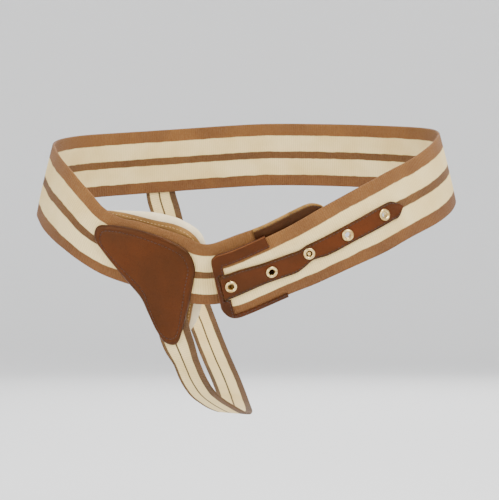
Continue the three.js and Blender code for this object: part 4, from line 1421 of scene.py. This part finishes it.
def tip_line():
    """Row round the leather tip, inside its edge."""
    corner = TIP_CORNER + TIP_EDGE
    straight = np.linspace(corner, TIP_LENGTH - 3, 40)[1:]
    tip = np.concatenate([np.geomspace(0.6, corner, 24), straight])
    low, high = band_edges(tip - TIP_EDGE, TIP_EDGE, tip, corner)
    along = tip - TIP_EDGE + TIP_SEAM * (1 - np.clip(tip / corner, 0.25, 1))
    lengths = np.concatenate([along[::-1], along])
    widths = np.concatenate([high[::-1] - TIP_SEAM, low + TIP_SEAM])
    return band_line(lengths, widths, TIP_LIFT + TIP_THICKNESS)


def make_stitches(props):
    """Makes the rows of stitches on the leather, the backing and the strap's end."""
    dark = thread_material("thread_dark", "#2A1406", "#120802")
    brown = thread_material("thread_brown", "#8A5E30", "#5C3A18")
    pale = thread_material("thread_pale", "#C49C5C", "#94703A")

    def sew(name, lines, thread, seed, slot):
        finished(stitched(name, lines, props, thread, seed), thread, slot)

    lengths = np.linspace(STRIP_START - STRIP_LENGTH + 6, STRIP_START - 4, 140)
    low, high = strip_edges(lengths)
    edges = high - STRIP_SEAM, low + STRIP_SEAM
    rows = [band_line(lengths, edge, STRIP_TOP) for edge in edges]
    sew("strip_stitches", rows, dark, 3, "strip_leather")
    sew("cap_stitches", cap_lines(), dark, 5, "dark_leather")
    row = pad_line(SHIELD, SHIELD_SEAM, SHIELD_LIFT + SHIELD_THICKNESS - 0.3)
    sew("shield_stitches", [row], dark, 11, "dark_leather")
    sew("tip_stitches", [tip_line()], dark, 17, "dark_leather")
    hem = pad_line(BACKING, BACKING_SEAM, BACKING_LIFT + BACKING_THICKNESS)
    sew("backing_stitches", [hem], pale, 23, "backing")
    sew("strap_stitches", strap_end_lines(), brown, 29, "webbing")


# Stage


def area_light(name, place, size, power, colour=(1, 1, 1)):
    light = bpy.data.lights.new(name, "AREA")
    light.shape = "DISK"
    light.size = size
    light.energy = power
    light.color = colour
    lamp = shown_object(name, light)
    lamp.location = place
    direction = Vector(AIM) - Vector(place)
    lamp.rotation_euler = direction.to_track_quat("-Z", "Y").to_euler()


def make_stage(props):
    """Makes the camera at the photograph's angle, a pale round floor and soft light."""
    camera = bpy.data.cameras.new("camera")
    camera.lens = CAMERA_LENS
    camera.sensor_width = 36
    camera.clip_end = 50
    view = shown_object("camera", camera)
    view.location = CAMERA_PLACE
    view.rotation_euler = (math.pi / 2, 0, 0)
    bpy.context.scene.camera = view

    low, radius, sweep, sides = FLOOR_RISE, FLOOR_RADIUS, FLOOR_SWEEP, FLOOR_SIDES
    profile = [(r, low) for r in (0.02, 0.5, 1.5, 2.4, radius)]
    for a in np.linspace(0, math.pi / 2, 12)[1:]:
        profile.append((radius + sweep * math.sin(a), low + sweep - sweep * math.cos(a)))
    profile.append((radius + sweep, FLOOR_TOP))
    angles = np.linspace(0, 2 * math.pi, sides, endpoint=False)
    points = [(r * math.cos(a), r * math.sin(a), z) for r, z in profile for a in angles]
    faces = grid_faces(len(profile), sides, True) + [range(sides)[::-1]]
    mesh = bpy.data.meshes.new("floor")
    mesh.from_pydata(points, [], [face[::-1] for face in faces])
    mesh.shade_smooth()
    floor = shown_object("floor", mesh)
    material, tree, shader, _ = new_material("floor")
    give(tree, shader, {"Base Color": (0.8, 0.8, 0.8, 1), "Roughness": 0.9})
    floor.data.materials.append(material)

    area_light("key", (1.3, -2.1, 1.7), 1.6, 95, (1, 0.98, 0.95))
    area_light("fill", (-1.8, -1.9, 0.6), 2.0, 44, (0.97, 0.98, 1))
    area_light("top", (0, 0.2, 2.6), 2.2, 46)
    area_light("gloss", (0.5, -0.9, 2.3), 0.5, 22)
    area_light("back", (0.4, 2.6, 1.4), 2.0, 48)
    world = bpy.data.worlds.new("studio")
    world.use_nodes = True
    background = world.node_tree.nodes["Background"]
    background.inputs["Color"].default_value = (0.95, 0.97, 1, 1)
    background.inputs["Strength"].default_value = 1.0
    bpy.context.scene.world = world


# Add-on


def length_property(name, words, default):
    """Length in metres that a user may change."""
    return bpy.props.FloatProperty(name=name, description=words, default=default, unit="LENGTH")


def colour_property(name, words, code):
    """Colour that a user may change."""
    return bpy.props.FloatVectorProperty(
        name=name, description=words, default=paint(code), subtype="COLOR", size=4, min=0, max=1
    )


class BeltProperties(bpy.types.PropertyGroup):
    stitch_length: length_property("Stitch", "Length of a stitch", 0.0021)
    stitch_space: length_property("Space", "Space between two stitches", 0.0009)
    thread: length_property("Thread", "Thickness of the thread", 0.0005)
    filling_pressure: bpy.props.FloatProperty(
        name="Filling", description="Pressure of the cushion's filling", default=4.0
    )
    filling_reach: length_property("Swelling", "Farthest that the filling pushes the cover", 0.003)
    brown: colour_property("Brown", "Brown of the webbing", "#744819")
    brown_shade: colour_property("Brown shade", "Darker brown of the webbing", "#653B10")
    cream: colour_property("Cream", "Cream of the webbing", "#F0D89C")
    cream_shade: colour_property("Cream shade", "Darker cream of the webbing", "#E2C584")


def piece_operator(label, maker):
    """Operator class that makes one piece or group of like pieces."""

    def execute(self, context):
        maker(context.scene.hernia_belt)
        return {"FINISHED"}

    name = maker.__name__.removeprefix("make_")
    parts = {
        "__doc__": maker.__doc__,
        "bl_idname": f"belt.{name}",
        "bl_label": label,
        "bl_options": {"REGISTER", "UNDO"},
        "execute": execute,
    }
    return type(f"BELT_OT_{name}", (bpy.types.Operator,), parts)


OPERATORS = [
    piece_operator("Elastic band", make_band),
    piece_operator("Leather tip", make_tip),
    piece_operator("End binding", make_cap),
    piece_operator("Eyelet strip", make_strip),
    piece_operator("Eyelets and stud", make_eyelets),
    piece_operator("Shield", make_shield),
    piece_operator("Backing", make_backing),
    piece_operator("Cushion", make_cushion),
    piece_operator("Leg strap", make_strap),
    piece_operator("Stitches", make_stitches),
    piece_operator("Stage", make_stage),
]


class BELT_PT_panel(bpy.types.Panel):
    """Lists the belt's sizes and pieces"""

    bl_label = "Hernia belt"
    bl_idname = "BELT_PT_panel"
    bl_space_type = "VIEW_3D"
    bl_region_type = "UI"
    bl_category = "Belt"

    def draw(self, context):
        for name in BeltProperties.__annotations__:
            self.layout.prop(context.scene.hernia_belt, name)
        for operator in OPERATORS:
            self.layout.operator(operator.bl_idname)


CLASSES = [BeltProperties, *OPERATORS, BELT_PT_panel]


def register():
    for cls in CLASSES:
        bpy.utils.register_class(cls)
    bpy.types.Scene.hernia_belt = bpy.props.PointerProperty(type=BeltProperties)


def unregister():
    del bpy.types.Scene.hernia_belt
    for cls in reversed(CLASSES):
        bpy.utils.unregister_class(cls)


def main():
    register()
    for operator in OPERATORS:
        group, name = operator.bl_idname.split(".")
        getattr(getattr(bpy.ops, group), name)()


if __name__ == "__main__":
    main()
